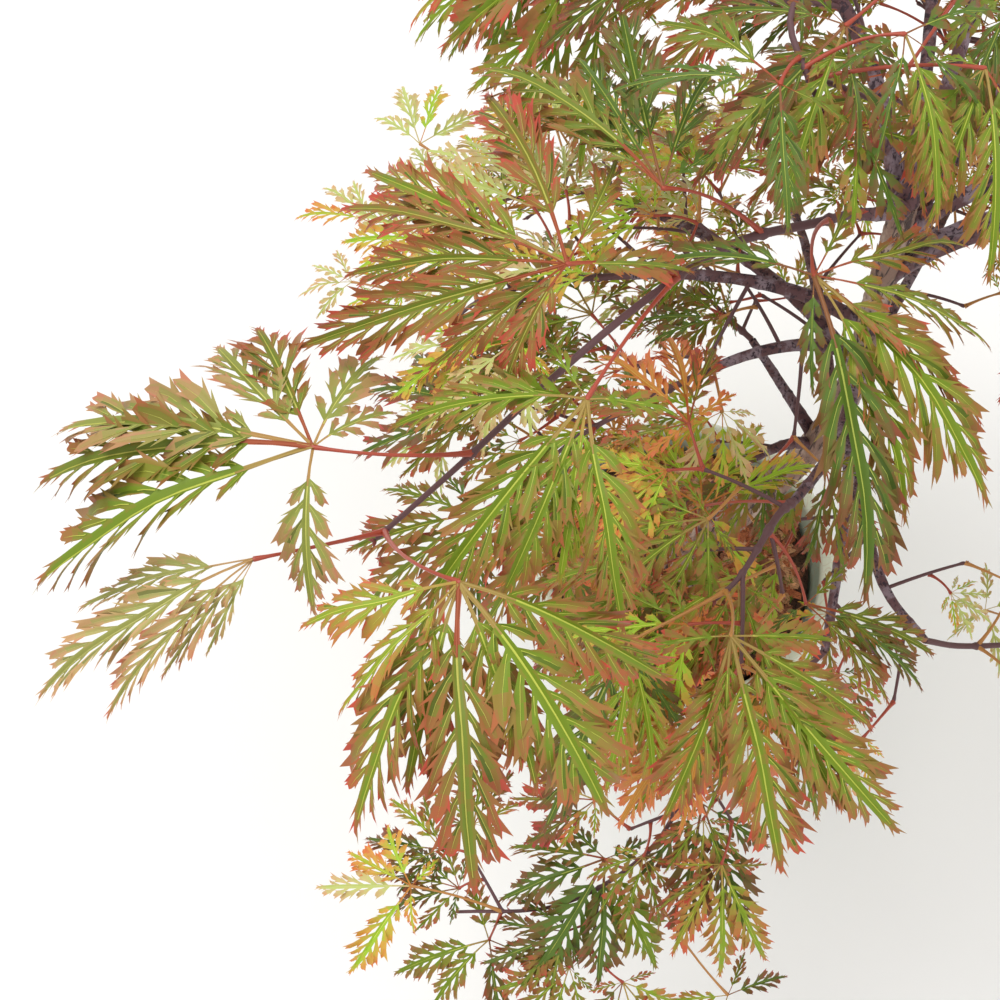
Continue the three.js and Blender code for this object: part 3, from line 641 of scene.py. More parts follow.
# One lobe's pattern, in shares of its length: its bare stalk, the end of its row of fingers, the
# wings of its midrib, its long tip as places with half widths, and the ridge on its midrib
BARE = 0.22
BLADE_END = 0.85
STALK_HALF = (0.0075, 0.0065)
WING = 0.0085
WING_SWELL = 0.0105
TIP_STATIONS = ((0.86, 0.016), (0.885, 0.0165), (0.91, 0.014), (0.935, 0.0115), (0.958, 0.0085),
                (0.98, 0.0055))
TIP_TEETH = (0.026, 0.042)
RIDGE_END = 0.93
RIDGE_RISE = 0.005

# Zones of a pattern: the levels from green to red, then veins, stalks and painted shade, a darker green on
# one half of a finger that stands in for the shadow of its fold
LEVELS = 6
VEIN, STALK, PAINTED_SHADE = LEVELS, LEVELS + 1, LEVELS + 2

# A finger's half width along it, as a share of its widest
FINGER_SHARES = (0, 0.12, 0.38, 0.66, 0.88, 1)
FINGER_WIDTHS = (0.36, 0.5, 0.86, 1.0, 0.68, 0.0)

# Fingers from a lobe's foot to its end: their lengths and their angles in degrees. Then where each
# bends, its curl, its roll in radians, the rise of its sides and how uneven it is
FINGER_LENGTHS = (0.15, 0.24, 0.27, 0.21, 0.12)
FINGER_ANGLES = (35, 22)
FINGER_BEND = (0.45, 0.55)
FINGER_CURL = (-0.42, 0.1)
FINGER_ROLL = 1.0
FINGER_CUP = 0.55
UNEVEN = (0.86, 1.12)

# A finger's teeth and its vein, in shares of the finger's length and of the lobe's
TOOTH_LENGTH = (0.14, 0.24)
INNER_TOOTH = 0.7
VEIN_HALF = 0.0012
VEIN_RISE = 0.003

# How much redder a finger's margin, its end and its teeth are, and how many have one half darkened by painted
# fold shade
MARGIN_RED = 0.16
END_RED = 0.58
TOOTH_RED = 0.28
TOOTH_END_RED = 0.44
PAINTED_SHADE_SHARE = 0.3

# Finger forms: rows along it, columns across it, and the rows that have outer and inner teeth
FORMS = {
    "fine": {"rows": (0.14, 0.34, 0.54, 0.73, 0.9), "columns": (1, 0.62, 0, -0.62, -1),
             "outer": (2, 3, 5), "inner": (4,)},
    "middle": {"rows": (0.16, 0.4, 0.64, 0.87), "columns": (1, 0, -1), "outer": (2, 4), "inner": (3,)},
    "plain": {"rows": (0.2, 0.5, 0.8), "columns": (1, 0, -1), "outer": (2,), "inner": (3,)},
}
FINE_COLUMNS = 5


class Sheet:
    """Places and triangles of a flat pattern, each triangle with its zone."""

    def __init__(self):
        self.places = []
        self.faces = []
        self.zones = []

    def add(self, along, across, up=0.0):
        """A new place, given back by its number."""
        self.places.append((along, across, up))
        return len(self.places) - 1

    def triangle(self, corners, zone):
        """One triangle that faces up, left out where two corners are the same."""
        (ax, ay, _), (bx, by, _), (cx, cy, _) = (self.places[corner] for corner in corners)
        upward = (bx - ax) * (cy - ay) - (by - ay) * (cx - ax)
        if len(set(corners)) == 3:
            self.faces.append(corners if upward > 0 else corners[::-1])
            self.zones.append(zone)

    def quad(self, a, b, c, d, zone):
        """Four corners as two triangles."""
        self.triangle((a, b, c), zone)
        self.triangle((a, c, d), zone)

    def strip(self, one, other, zone):
        """Quads between two rows of places."""
        for k in range(len(one) - 1):
            self.quad(one[k], one[k + 1], other[k + 1], other[k], zone)

    def arrays(self):
        """Places, triangles and zones as arrays."""
        return np.array(self.places), np.array(self.faces), np.array(self.zones)


def level_of(value):
    """A tint's level from green at 0 to red at 1."""
    return int(np.clip(value, 0, 0.999) * LEVELS)


def add_vein(sheet, path, hand):
    """A thin raised strip along a path, which runs to a point."""
    left, right = [], []
    for order, (along, across, up) in enumerate(path[:-1]):
        thin = VEIN_HALF * (1 - order * 0.25)
        left.append(sheet.add(along - thin * 0.4, across + hand * thin, up + VEIN_RISE))
        right.append(sheet.add(along + thin * 0.4, across - hand * thin, up + VEIN_RISE))
    along, across, up = path[-1]
    point = sheet.add(along, across, up + 0.002)
    sheet.strip(right + [point], left + [point], VEIN)


def add_finger(sheet, base, hand, angle, length, width, form, start_tint, draw):
    """One toothed finger of a lobe, which leaves the midrib at an angle and bends forward."""
    start = np.array(sheet.places[base[1]][:2])
    ahead, lean = (np.array([math.cos(turn), hand * math.sin(turn)]) for turn in (angle, angle * 0.5))
    control = start + ahead * length * FINGER_BEND[0]
    end = control + lean * length * FINGER_BEND[1]
    curl = draw(*FINGER_CURL)
    roll = draw(-FINGER_ROLL, FINGER_ROLL)
    # Painted shade: the column beside which a fine finger's green quads turn darker, as if its fold shaded
    # that half
    painted_shade_column = int(draw(1, 3)) if draw(0, 1) < PAINTED_SHADE_SHARE else None
    columns = form["columns"]
    fine = len(columns) == FINE_COLUMNS
    rows = [[base[0], base[0], base[1], base[2], base[2]] if fine else list(base)]
    centres, lines = [], []

    def drop(share):
        return curl * length * share ** 2

    for share in form["rows"]:
        centre = start * (1 - share) ** 2 + control * 2 * share * (1 - share) + end * share ** 2
        line = unit((control - start) * (1 - share) + (end - control) * share)
        out = np.array([-line[1], line[0]]) * hand
        half = width * np.interp(share, FINGER_SHARES, FINGER_WIDTHS) * draw(*UNEVEN)
        centres.append(centre)
        lines.append((line, out, half))
        cup = half * FINGER_CUP * np.abs(columns)
        rise = drop(share) + cup + half * np.array(columns) * math.sin(roll * share)
        rows.append([sheet.add(*(centre + out * half * side), up) for side, up in zip(columns, rise)])
    tip = sheet.add(*end, drop(1))
    rows.append([tip] * len(columns))
    shares = (0, *form["rows"], 1)
    for k in range(len(rows) - 1):
        middle = (shares[k] + shares[k + 1]) / 2
        near, far = rows[k], rows[k + 1]
        for column in range(len(columns) - 1):
            edge = (abs(columns[column]) + abs(columns[column + 1])) / 2
            margin = MARGIN_RED * (edge > 0.7) + 0.5 * MARGIN_RED * (edge == 0.5)
            tint = level_of(start_tint + margin + END_RED * middle ** 1.4 + draw(-0.13, 0.13))
            # Painted shade: these green quads take the darker fold shade
            if fine and column == painted_shade_column and tint < 3:
                tint = PAINTED_SHADE
            sheet.quad(near[column + 1], near[column], far[column], far[column + 1], tint)
    for side, teeth in ((0, form["outer"]), (-1, form["inner"])):
        for k in teeth:
            line, out, half = lines[k - 1]
            away = out if side == 0 else -out
            reach = length * draw(*TOOTH_LENGTH) * (1 if side == 0 else INNER_TOOTH)
            point = centres[k - 1] + away * (half + reach * 0.5) + line * reach * 0.62
            apex = sheet.add(*point, sheet.places[rows[k][side]][2])
            tint = level_of(start_tint + TOOTH_RED + TOOTH_END_RED * shares[k] ** 1.5 + draw(-0.14, 0.14))
            sheet.triangle((rows[k - 1][side], rows[k][side], apex), tint)
    if fine:
        add_vein(sheet, [sheet.places[k] for k in (base[1], rows[1][2], rows[3][2], rows[5][2])], hand)


def lobe_pattern(pairs, form_name, seed):
    """One flat lobe: a bare stalk, then a winged midrib with toothed fingers and a long thin tip."""
    draw = sampler(seed)
    sheet = Sheet()
    form, fine = FORMS[form_name], form_name == "fine"
    pitch = (BLADE_END - BARE) / pairs
    for hand in (1, -1):
        shift = hand * pitch * 0.16
        starts = [BARE + pitch * k + shift * min(k, 1) + draw(-0.1, 0.1) * pitch for k in range(pairs)]
        stations = [(0.0, STALK_HALF[0], STALK), (BARE * 0.6, STALK_HALF[1], STALK)]
        for order, start in enumerate(starts):
            wing = WING + WING_SWELL * math.sin(math.pi * (0.1 + 0.62 * order / pairs))
            body = level_of(0.02 + 0.1 * order / pairs + draw(0, 0.2))
            stations += [(start, wing * (0.7 if order == 0 else 1), body),
                         (start + pitch * 0.2, wing + 0.003, body), (start + pitch * 0.42, wing, 0)]
        tooth_rows = []
        for step, (along, half) in enumerate(TIP_STATIONS):
            stations.append((along, half, level_of(0.2 + 0.12 * step)))
            if step and step % 2 == (hand > 0):
                tooth_rows.append(len(stations) - 1)
        middle = [sheet.add(along, 0.0) for along, _, _ in stations] + [sheet.add(1.0, 0.0, -0.01)]
        edge = [sheet.add(along, hand * half, half * 0.3) for along, half, _ in stations] + middle[-1:]
        bands = [middle, edge]
        if fine:
            inner = [sheet.add(along, hand * half * 0.6, half * 0.18) for along, half, _ in stations]
            bands.insert(1, inner + middle[-1:])
        for k, (_, _, zone) in enumerate(stations):
            redder = min(zone + 1, LEVELS - 1) if zone < LEVELS else zone
            for near, far, level in zip(bands, bands[1:], (zone, redder)):
                sheet.quad(near[k], near[k + 1], far[k + 1], far[k], level)
        for k in tooth_rows:
            along, half, _ = stations[k]
            reach = draw(*TIP_TEETH)
            apex = sheet.add(along + reach, hand * (half + reach * 0.42), -0.004)
            sheet.triangle((edge[k - 1], edge[k], apex), level_of(0.7 + draw(-0.1, 0.2)))
        for order in range(pairs):
            share = order / max(pairs - 1, 1)
            angle = math.radians(np.interp(share, (0, 1), FINGER_ANGLES) + draw(-5, 5))
            length = np.interp(share, (0, 0.25, 0.5, 0.75, 1), FINGER_LENGTHS) * draw(0.78, 1.18)
            width = 0.5 * pitch * math.sin(angle * 0.85) * draw(*UNEVEN) * (0.78 if order == 0 else 1)
            base = edge[2 + 3 * order:5 + 3 * order]
            add_finger(sheet, base, hand, angle, length, width, form, 0.1 + 0.17 * share, draw)
    ridge = np.linspace(0, RIDGE_END, 12 if fine else 6)
    top = [sheet.add(along, 0.0, RIDGE_RISE) for along in ridge]
    for hand in (1, -1):
        foot = [sheet.add(along, hand * (0.0038 - 0.0026 * along), 0.0012) for along in ridge]
        for k in range(len(ridge) - 1):
            zone = STALK if ridge[k + 1] < BARE * 1.2 else VEIN
            sheet.quad(top[k], top[k + 1], foot[k + 1], foot[k], zone)
    return sheet.arrays()


# Patterns that each size and form of lobe takes by turns, the lengths in millimetres from which a
# lobe has a fifth, sixth and seventh pair of fingers, and those above which it has a finer form
PATTERNS_EACH = 5
PAIR_LENGTHS = (36, 48, 58)
MIDDLE_ABOVE = 32
FINE_ABOVE = 40
NEAR_MASSES = ("front_left", "top", "front")


@functools.lru_cache(maxsize=None)
def pattern_for(pairs, form_name, choice):
    """One of the patterns that lobes of a size and form share."""
    return lobe_pattern(pairs, form_name, 700 + pairs * 31 + choice * 7)


def lay_lobe(pattern, lobe, breadth, fold, roll, twist, sweep, wave):
    """A lobe's pattern bent along its own line, folded at the midrib, turned and waved."""
    places, _, _ = pattern
    along, across, up = places.T
    length = lobe["length"]
    hub, middle, tip = lobe["hub"], lobe["middle"], lobe["tip"]
    control = (middle - hub * (1 - WIDEST_AT) ** 2 - tip * WIDEST_AT ** 2) / (2 * WIDEST_AT * (1 - WIDEST_AT))
    t = along[:, None]
    centre = hub * (1 - t) ** 2 + control * 2 * t * (1 - t) + tip * t ** 2
    line = (control - hub) * (1 - t) + (tip - control) * t
    line = line / np.linalg.norm(line, axis=1)[:, None]
    side = np.cross(UP, line)
    side = side / np.linalg.norm(side, axis=1)[:, None]
    normal = np.cross(line, side)
    turn = (roll + twist * along)[:, None]
    turned_side = side * np.cos(turn) + normal * np.sin(turn)
    turned_normal = normal * np.cos(turn) - side * np.sin(turn)
    ripple = wave * np.sin(2 * math.pi * (1.6 * along + 3 * wave)) * along * (1 - along) * 4
    height = up + fold * np.abs(across) - 1.3 * across ** 2 + ripple - 0.05 * along ** 6
    curve = sweep * along * (1 - along) * 4
    across_places = turned_side * ((across * breadth + curve) * length)[:, None]
    return centre + across_places + turned_normal * (height * length)[:, None]


def colour_of(code):
    """A hexadecimal colour as linear red, green and blue."""
    values = [int(code[i:i + 2], 16) / 255 for i in (0, 2, 4)]
    return tuple(v / 12.92 if v <= 0.04045 else ((v + 0.055) / 1.055) ** 2.4 for v in values)


def length_property(name, description, default):
    """A length in metres that the panel shows."""
    return FloatProperty(name=name, description=description, default=default, unit="LENGTH")


def colour_property(name, description, code):
    """A colour that the panel shows, from its hexadecimal code."""
    return FloatVectorProperty(name=name, description=description, subtype="COLOR", size=3, min=0, max=1,
                               default=colour_of(code))


class MaplePotSizes(PropertyGroup):
    """Sizes and colours of the glazed pot."""

    lip: length_property("Lip radius", "Radius of the rolled rim", 0.0045)
    band: length_property("Band height", "Height of the band below the rim", 0.02)
    foot: length_property("Foot radius", "Radius of the flat underside", 0.05)
    shoulder: length_property("Shoulder radius", "Radius of the body under its band", 0.077)
    wall: length_property("Wall", "Thickness of the wall", 0.007)
    floor: length_property("Floor", "Thickness of the floor", 0.009)
    drain: length_property("Drain radius", "Radius of each drain hole", 0.005)
    drain_circle: length_property("Drain circle", "Radius of the circle of drain holes", 0.024)
    glaze: colour_property("Glaze", "Colour of the glaze where it lies thick", "a4b4a0")
    thin_glaze: colour_property("Thin glaze", "Colour of the glaze where it breaks over an edge", "d3dac6")
    clay: colour_property("Clay", "Colour of the bare foot", "b98e6c")
    clay_patch: colour_property("Clay patch", "Colour of the pale patches in the clay", "c8a583")
    clay_crack: colour_property("Clay streak", "Colour of the dark streaks in the clay", "8a6348")


class MapleGroundSettings(PropertyGroup):
    """Chips and moss on the pot's soil."""

    chips: IntProperty(name="Chips", description="Chips for each square metre and shade", default=26000)
    moss: IntProperty(name="Moss", description="Tufts of moss for each square metre", default=14000)
    seed: IntProperty(name="Seed", description="Seed of the scatter", default=5)
    soil: colour_property("Soil", "Colour of the soil between the chips", "4c3428")
    soil_patch: colour_property("Soil patch", "Colour of the paler patches in the soil", "5a4030")
    soil_crack: colour_property("Soil streak", "Colour of the dark streaks in the soil", "1f1610")
    moss_colour: colour_property("Moss colour", "Colour of the moss", "6f8f35")


class MapleWoodSettings(PropertyGroup):
    """Relief and colours of the trunk, boughs, twigs, petioles and buds."""

    relief: length_property("Bark relief", "Depth of the bark's relief on the trunk", 0.0005)
    sides: IntProperty(name="Twig sides", description="Sides of each twig", default=8, min=3)
    bark: colour_property("Bark", "Colour of the trunk's bark", "8a6e60")
    patch: colour_property("Bark patch", "Colour of the pale patches in the bark", "b09a8c")
    crack: colour_property("Bark crack", "Colour of the bark's cracks", "463634")
    twig: colour_property("Twig", "Colour of the young twigs", "644648")
    bloom: colour_property("Bloom", "Colour of the grey bloom on young bark", "8a7880")
    young_crack: colour_property("Young bark crack", "Colour of the cracks in young bark", "3f3038")
    petiole_red: colour_property("Red petiole", "Colour of most petioles", "a8452f")
    petiole_amber: colour_property("Amber petiole", "Colour of the other petioles", "b98040")
    bud: colour_property("Bud", "Colour of the buds", "7d3a33")


class MapleLeafSettings(PropertyGroup):
    """Shape of the leaves' lobes."""

    breadth: FloatProperty(name="Breadth", description="Breadth of a lobe as a share of the usual one",
                           default=1.0, min=0.5, max=1.5)
    fold: FloatProperty(name="Fold", description="Rise of a lobe's sides from its midrib", default=0.34)


class MapleStageSettings(PropertyGroup):
    """Floor, lights and camera."""

    floor_size: length_property("Floor size", "Width of the round floor", 80)
    floor: colour_property("Floor", "Colour of the floor", "f2f1ef")
    sky: FloatProperty(name="Sky", description="Strength of the even light", default=0.88)
    key: FloatProperty(name="Key light", description="Power of the large soft light", default=106)
    fill: FloatProperty(name="Fill light", description="Power of the second soft light", default=11)


# Tints that are dealt out by spray: green, bronze, red, vein and stalk
TINTS = {
    "deep": ("587028", "7e5632", "b0403c", "b6be56", "8c5e3c"),
    "mid": ("748a22", "9c6e3a", "c6443a", "cace58", "a48a4a"),
    "olive": ("88a028", "b0843e", "ce5640", "d4d660", "b09448"),
    "fresh": ("a2c434", "d6a648", "de7040", "dee866", "c8853e"),
    "pale": ("c2cc76", "d2b67e", "d6a074", "d8d8a0", "ccba7c"),
    "bronze": ("707e28", "966434", "be443a", "c4c05a", "a05234"),
    "rust": ("c88a38", "d67a48", "de6440", "deb45e", "c06638"),
    # The next two tints are painted glare: paler, washed-out colours that stand in for the strong light
    # washing out the two leaves at the left
    "dusty": ("8e9446", "b4865c", "ca5458", "cccc68", "b08a50"),
    "straw": ("a8aa62", "c89e70", "d4705c", "d2d086", "c09a66"),
}

# Tints that single lobes of a leaf may take instead of its own, and the share that does
KIN_TINTS = {
    "deep": ("mid", "bronze"), "mid": ("deep", "olive", "bronze"), "olive": ("mid", "deep", "bronze"),
    "fresh": ("olive", "mid"), "pale": ("fresh",), "bronze": ("deep", "mid", "deep"), "rust": ("bronze",),
    "dusty": ("mid", "bronze"), "straw": ("dusty",),
}
KIN_SHARE = 0.36

# How far each level has gone from green at 0 to bronze at 1, and on to red at 2
LEVEL_STEPS = (0, 0.28, 0.66, 0.98, 1.3, 1.8)


def add_node(tree, kind, inputs=None, **settings):
    """A new node with its settings and plain input values."""
    made = tree.nodes.new(kind)
    for name, value in settings.items():
        setattr(made, name, value)
    for name, value in (inputs or {}).items():
        made.inputs[name].default_value = value
    return made


def wire(tree, *links):
    """Links, each given as a node, its output, the next node and its input."""
    for node, output, next_node, entry in links:
        tree.links.new(node.outputs[output], next_node.inputs[entry])


def new_tree(kind, name, inputs, outputs):
    """An empty node tree with named sockets, and its two nodes for them."""
    tree = bpy.data.node_groups.new(name, kind)
    for label, value_kind, default in inputs:
        socket = tree.interface.new_socket(label, in_out="INPUT", socket_type=f"NodeSocket{value_kind}")
        if default is not None:
            socket.default_value = default
    for label, value_kind in outputs:
        tree.interface.new_socket(label, in_out="OUTPUT", socket_type=f"NodeSocket{value_kind}")
    return tree, tree.nodes.new("NodeGroupInput"), tree.nodes.new("NodeGroupOutput")


@functools.lru_cache(maxsize=None)
def grain_group():
    """Fine grain: a roughness that wavers and a normal with small relief."""
    group, given, out = new_tree(
        "ShaderNodeTree", "Fine grain",
        (("Scale", "Float", 900), ("Smoothest", "Float", 0.4), ("Roughest", "Float", 0.6),
         ("Relief", "Float", 0.0001)),
        (("Roughness", "Float"), ("Normal", "Vector")))
    places = add_node(group, "ShaderNodeTexCoord")
    grain = add_node(group, "ShaderNodeTexNoise", {"Detail": 4, "Roughness": 0.6})
    waver = add_node(group, "ShaderNodeMapRange")
    bump = add_node(group, "ShaderNodeBump", {"Strength": 0.6})
    wire(group, (places, "Object", grain, "Vector"), (given, "Scale", grain, "Scale"),
         (grain, "Fac", waver, "Value"), (given, "Smoothest", waver, "To Min"),
         (given, "Roughest", waver, "To Max"), (waver, "Result", out, "Roughness"),
         (grain, "Fac", bump, "Height"), (given, "Relief", bump, "Distance"),
         (bump, "Normal", out, "Normal"))
    return group


@functools.lru_cache(maxsize=None)
def mottle_group():
    """Broad patches and thin streaks, as masks for a surface's colours."""
    group, given, out = new_tree(
        "ShaderNodeTree", "Mottling",
        (("Scale", "Float", 60), ("Stretch", "Vector", (1, 1, 1)), ("Patch Share", "Float", 0.53),
         ("Streak Share", "Float", 0.26)),
        (("Patches", "Float"), ("Streaks", "Float"), ("Height", "Float")))
    places = add_node(group, "ShaderNodeTexCoord")
    stretched = add_node(group, "ShaderNodeMapping")
    broad = add_node(group, "ShaderNodeTexNoise", {"Detail": 5, "Roughness": 0.65})
    thin = add_node(group, "ShaderNodeTexNoise", {"Detail": 3, "Roughness": 0.7, "Distortion": 0.4})
    drawn = add_node(group, "ShaderNodeMapping", {"Scale": (1, 1, 0.22)})
    finer = add_node(group, "ShaderNodeMath", {1: 4.5}, operation="MULTIPLY")
    patch_low = add_node(group, "ShaderNodeMath", {1: 0.07}, operation="SUBTRACT")
    patch_high = add_node(group, "ShaderNodeMath", {1: 0.09}, operation="ADD")
    patches = add_node(group, "ShaderNodeMapRange", interpolation_type="SMOOTHSTEP")
    streaks = add_node(group, "ShaderNodeMapRange", interpolation_type="SMOOTHSTEP")
    least = add_node(group, "ShaderNodeMath", {0: 0.78}, operation="SUBTRACT")
    most = add_node(group, "ShaderNodeMath", {1: 0.1}, operation="ADD")
    height = add_node(group, "ShaderNodeMath", operation="SUBTRACT")
    wire(group, (places, "Object", stretched, "Vector"), (given, "Stretch", stretched, "Scale"),
         (stretched, "Vector", broad, "Vector"), (stretched, "Vector", drawn, "Vector"),
         (drawn, "Vector", thin, "Vector"), (given, "Scale", broad, "Scale"),
         (given, "Scale", finer, 0), (finer, 0, thin, "Scale"),
         (given, "Patch Share", patch_low, 0), (given, "Patch Share", patch_high, 0),
         (broad, "Fac", patches, "Value"), (patch_low, 0, patches, "From Min"),
         (patch_high, 0, patches, "From Max"), (given, "Streak Share", least, 1), (least, 0, most, 0),
         (thin, "Fac", streaks, "Value"), (least, 0, streaks, "From Min"), (most, 0, streaks, "From Max"),
         (patches, "Result", out, "Patches"), (streaks, "Result", out, "Streaks"),
         (broad, "Fac", height, 0), (streaks, "Result", height, 1), (height, 0, out, "Height"))
    return group


def new_material(name, colour, specular=0.5):
    """A material with a plain base colour, its tree and its shader."""
    material = bpy.data.materials.new(name)
    material.use_nodes = True
    tree = material.node_tree
    shader = tree.nodes["Principled BSDF"]
    shader.inputs["Base Color"].default_value = (*colour, 1)
    shader.inputs["Specular IOR Level"].default_value = specular
    material.diffuse_color = (*colour, 1)
    return material, tree, shader


def grained_material(name, colour, scale, smoothest, roughest, relief, specular=0.5):
    """A plain base colour with wavering roughness and fine relief."""
    material, tree, shader = new_material(name, colour, specular)
    grain = add_node(tree, "ShaderNodeGroup", {"Scale": scale, "Smoothest": smoothest, "Roughest": roughest,
                                               "Relief": relief}, node_tree=grain_group())
    wire(tree, (grain, "Roughness", shader, "Roughness"), (grain, "Normal", shader, "Normal"))
    return material


def mix_colours(tree, mask, one, other):
    """A colour mixed from two, each a plain colour or an output, by a mask."""
    mixed = add_node(tree, "ShaderNodeMix", data_type="RGBA")
    for socket, value in ((mixed.inputs[6], one), (mixed.inputs[7], other)):
        if isinstance(value, bpy.types.NodeSocket):
            tree.links.new(value, socket)
        else:
            socket.default_value = (*value, 1)
    tree.links.new(mask, mixed.inputs[0])
    return mixed.outputs[2]


def bark_material(name, plain, patch, crack, scale, stretch, relief):
    """Bark, soil or clay with pale patches, dark cracks and relief."""
    material, tree, shader = new_material(name, plain, 0.35)
    mottle = add_node(tree, "ShaderNodeGroup", {"Scale": scale, "Stretch": stretch}, node_tree=mottle_group())
    grain = add_node(tree, "ShaderNodeGroup", {"Scale": 1400, "Smoothest": 0.62, "Roughest": 0.9,
                                               "Relief": 0.0001}, node_tree=grain_group())
    bump = add_node(tree, "ShaderNodeBump", {"Strength": 0.7, "Distance": relief})
    patched = mix_colours(tree, mottle.outputs["Patches"], plain, patch)
    cracked = mix_colours(tree, mottle.outputs["Streaks"], patched, crack)
    tree.links.new(cracked, shader.inputs["Base Color"])
    wire(tree, (grain, "Roughness", shader, "Roughness"), (grain, "Normal", bump, "Normal"),
         (mottle, "Height", bump, "Height"), (bump, "Normal", shader, "Normal"))
    return material


def glaze_material(sizes):
    """Celadon glaze, thin and pale over the rim and in cloudy drifts, with a fine crackle."""
    material, tree, shader = new_material("Celadon glaze", sizes.glaze)
    shader.inputs["Coat Weight"].default_value = 0.4
    shader.inputs["Coat Roughness"].default_value = 0.08
    places = add_node(tree, "ShaderNodeTexCoord")
    apart = add_node(tree, "ShaderNodeSeparateXYZ")
    rim = add_node(tree, "ShaderNodeMapRange", {"From Min": pot_high.z - sizes.lip * 1.3,
                                                "From Max": pot_high.z - sizes.lip * 0.2})
    clouds = add_node(tree, "ShaderNodeTexNoise", {"Scale": 38, "Detail": 5, "Roughness": 0.6})
    drift = add_node(tree, "ShaderNodeMapRange", {"From Min": 0.35, "From Max": 0.75, "To Max": 0.4})
    cells = add_node(tree, "ShaderNodeTexVoronoi", {"Scale": 150}, feature="DISTANCE_TO_EDGE")
    crackle = add_node(tree, "ShaderNodeMapRange", {"From Max": 0.035, "To Min": 0.28, "To Max": 0.0})
    specks = add_node(tree, "ShaderNodeTexNoise", {"Scale": 620, "Detail": 2})
    freckles = add_node(tree, "ShaderNodeMapRange", {"From Min": 0.66, "From Max": 0.74, "To Max": 0.6})
    thin = add_node(tree, "ShaderNodeMath", operation="MAXIMUM")
    rough = add_node(tree, "ShaderNodeMapRange", {"From Min": 0.35, "From Max": 0.7, "To Min": 0.12,
                                                  "To Max": 0.3})
    bump = add_node(tree, "ShaderNodeBump", {"Strength": 0.3, "Distance": 0.0004})
    broken = mix_colours(tree, thin.outputs[0], sizes.glaze, sizes.thin_glaze)
    crazed = mix_colours(tree, crackle.outputs["Result"], broken, sizes.clay)
    freckled = mix_colours(tree, freckles.outputs["Result"], crazed, sizes.clay)
    tree.links.new(freckled, shader.inputs["Base Color"])
    wire(tree, *((places, "Object", node, "Vector") for node in (apart, clouds, cells, specks)),
         (apart, "Z", rim, "Value"), (clouds, "Fac", drift, "Value"), (cells, "Distance", crackle, "Value"),
         (specks, "Fac", freckles, "Value"), (rim, "Result", thin, 0), (drift, "Result", thin, 1),
         (clouds, "Fac", rough, "Value"), (rough, "Result", shader, "Roughness"),
         (clouds, "Fac", bump, "Height"), (bump, "Normal", shader, "Normal"))
    return material


def placed(name, data):
    """A new object in the scene with a mesh, a light or a camera."""
    made = bpy.data.objects.new(name, data)
    bpy.context.scene.collection.objects.link(made)
    return made


def mesh_object(name, places, faces, materials, indices=None):
    """A smooth mesh object in metres from places in millimetres and triangles."""
    mesh = bpy.data.meshes.new(name)
    mesh.vertices.add(len(places))
    mesh.vertices.foreach_set("co", (np.asarray(places) * MM).astype(np.float32).ravel())
    count = len(faces)
    mesh.loops.add(count * 3)
    mesh.loops.foreach_set("vertex_index", np.asarray(faces, np.int32).ravel())
    mesh.polygons.add(count)
    mesh.polygons.foreach_set("loop_start", np.arange(0, count * 3, 3, dtype=np.int32))
    for material in materials:
        mesh.materials.append(material)
    if indices is not None:
        mesh.polygons.foreach_set("material_index", np.asarray(indices, np.int32))
    mesh.polygons.foreach_set("use_smooth", np.full(count, True))
    mesh.update(calc_edges=True)
    mesh.validate()
    return placed(name, mesh)


def grown_mesh(name, base, tree, values):
    """A plain mesh object from a base object that a node tree has worked on. The base is removed."""
    modifier = base.modifiers.new("Growth", "NODES")
    modifier.node_group = tree
    sockets = {item.name: item.identifier for item in tree.interface.items_tree if item.in_out == "INPUT"}
    for label, value in values.items():
        modifier[sockets[label]] = value
    graph = bpy.context.evaluated_depsgraph_get()
    mesh = bpy.data.meshes.new_from_object(base.evaluated_get(graph), depsgraph=graph)
    mesh.name = name
    made = placed(name, mesh)
    base.modifiers.remove(modifier)
    bpy.data.objects.remove(base)
    return made


def close_tree(tree, given, out, last, output):
    """A geometry tree's end, where what a node gives is made real and takes its material."""
    real = add_node(tree, "GeometryNodeRealizeInstances")
    painted = add_node(tree, "GeometryNodeSetMaterial")
    wire(tree, (last, output, real, "Geometry"), (real, "Geometry", painted, "Geometry"),
         (given, "Material", painted, "Material"), (painted, "Geometry", out, "Geometry"))
    return tree


@functools.lru_cache(maxsize=None)
def tube_tree():
    """Closed round tubes along polylines, each as thick as its points' girth says."""
    tree, given, out = new_tree(
        "GeometryNodeTree", "Twig tubes",
        (("Geometry", "Geometry", None), ("Sides", "Int", 8), ("Material", "Material", None)),
        (("Geometry", "Geometry"),))
    lines = add_node(tree, "GeometryNodeMeshToCurve")
    girth = add_node(tree, "GeometryNodeInputNamedAttribute", {"Name": "girth"}, data_type="FLOAT")
    ring = add_node(tree, "GeometryNodeCurvePrimitiveCircle", {"Radius": 1.0})
    tubes = add_node(tree, "GeometryNodeCurveToMesh", {"Fill Caps": True})
    smooth = add_node(tree, "GeometryNodeSetShadeSmooth")
    wire(tree, (given, "Geometry", lines, "Mesh"), (lines, "Curve", tubes, "Curve"),
         (girth, "Attribute", tubes, "Scale"), (given, "Sides", ring, "Resolution"),
         (ring, "Curve", tubes, "Profile Curve"), (tubes, "Mesh", smooth, "Geometry"))
    return close_tree(tree, given, out, smooth, "Geometry")


def tube_piece(name, lines, sides, material):
    """One piece of tubes, from lines of places with their radii in millimetres."""
    places, edges, girths = [], [], []
    for line, radii in lines:
        first = len(places)
        places += [tuple(place * MM) for place in line]
        girths += [radius * MM for radius in radii]
        edges += [(first + k, first + k + 1) for k in range(len(line) - 1)]
    mesh = bpy.data.meshes.new(name + "_lines")
    mesh.from_pydata(places, edges, [])
    mesh.attributes.new("girth", "FLOAT", "POINT").data.foreach_set("value", girths)
    base = placed(name + "_lines", mesh)
    return grown_mesh(name, base, tube_tree(), {"Sides": sides, "Material": material})


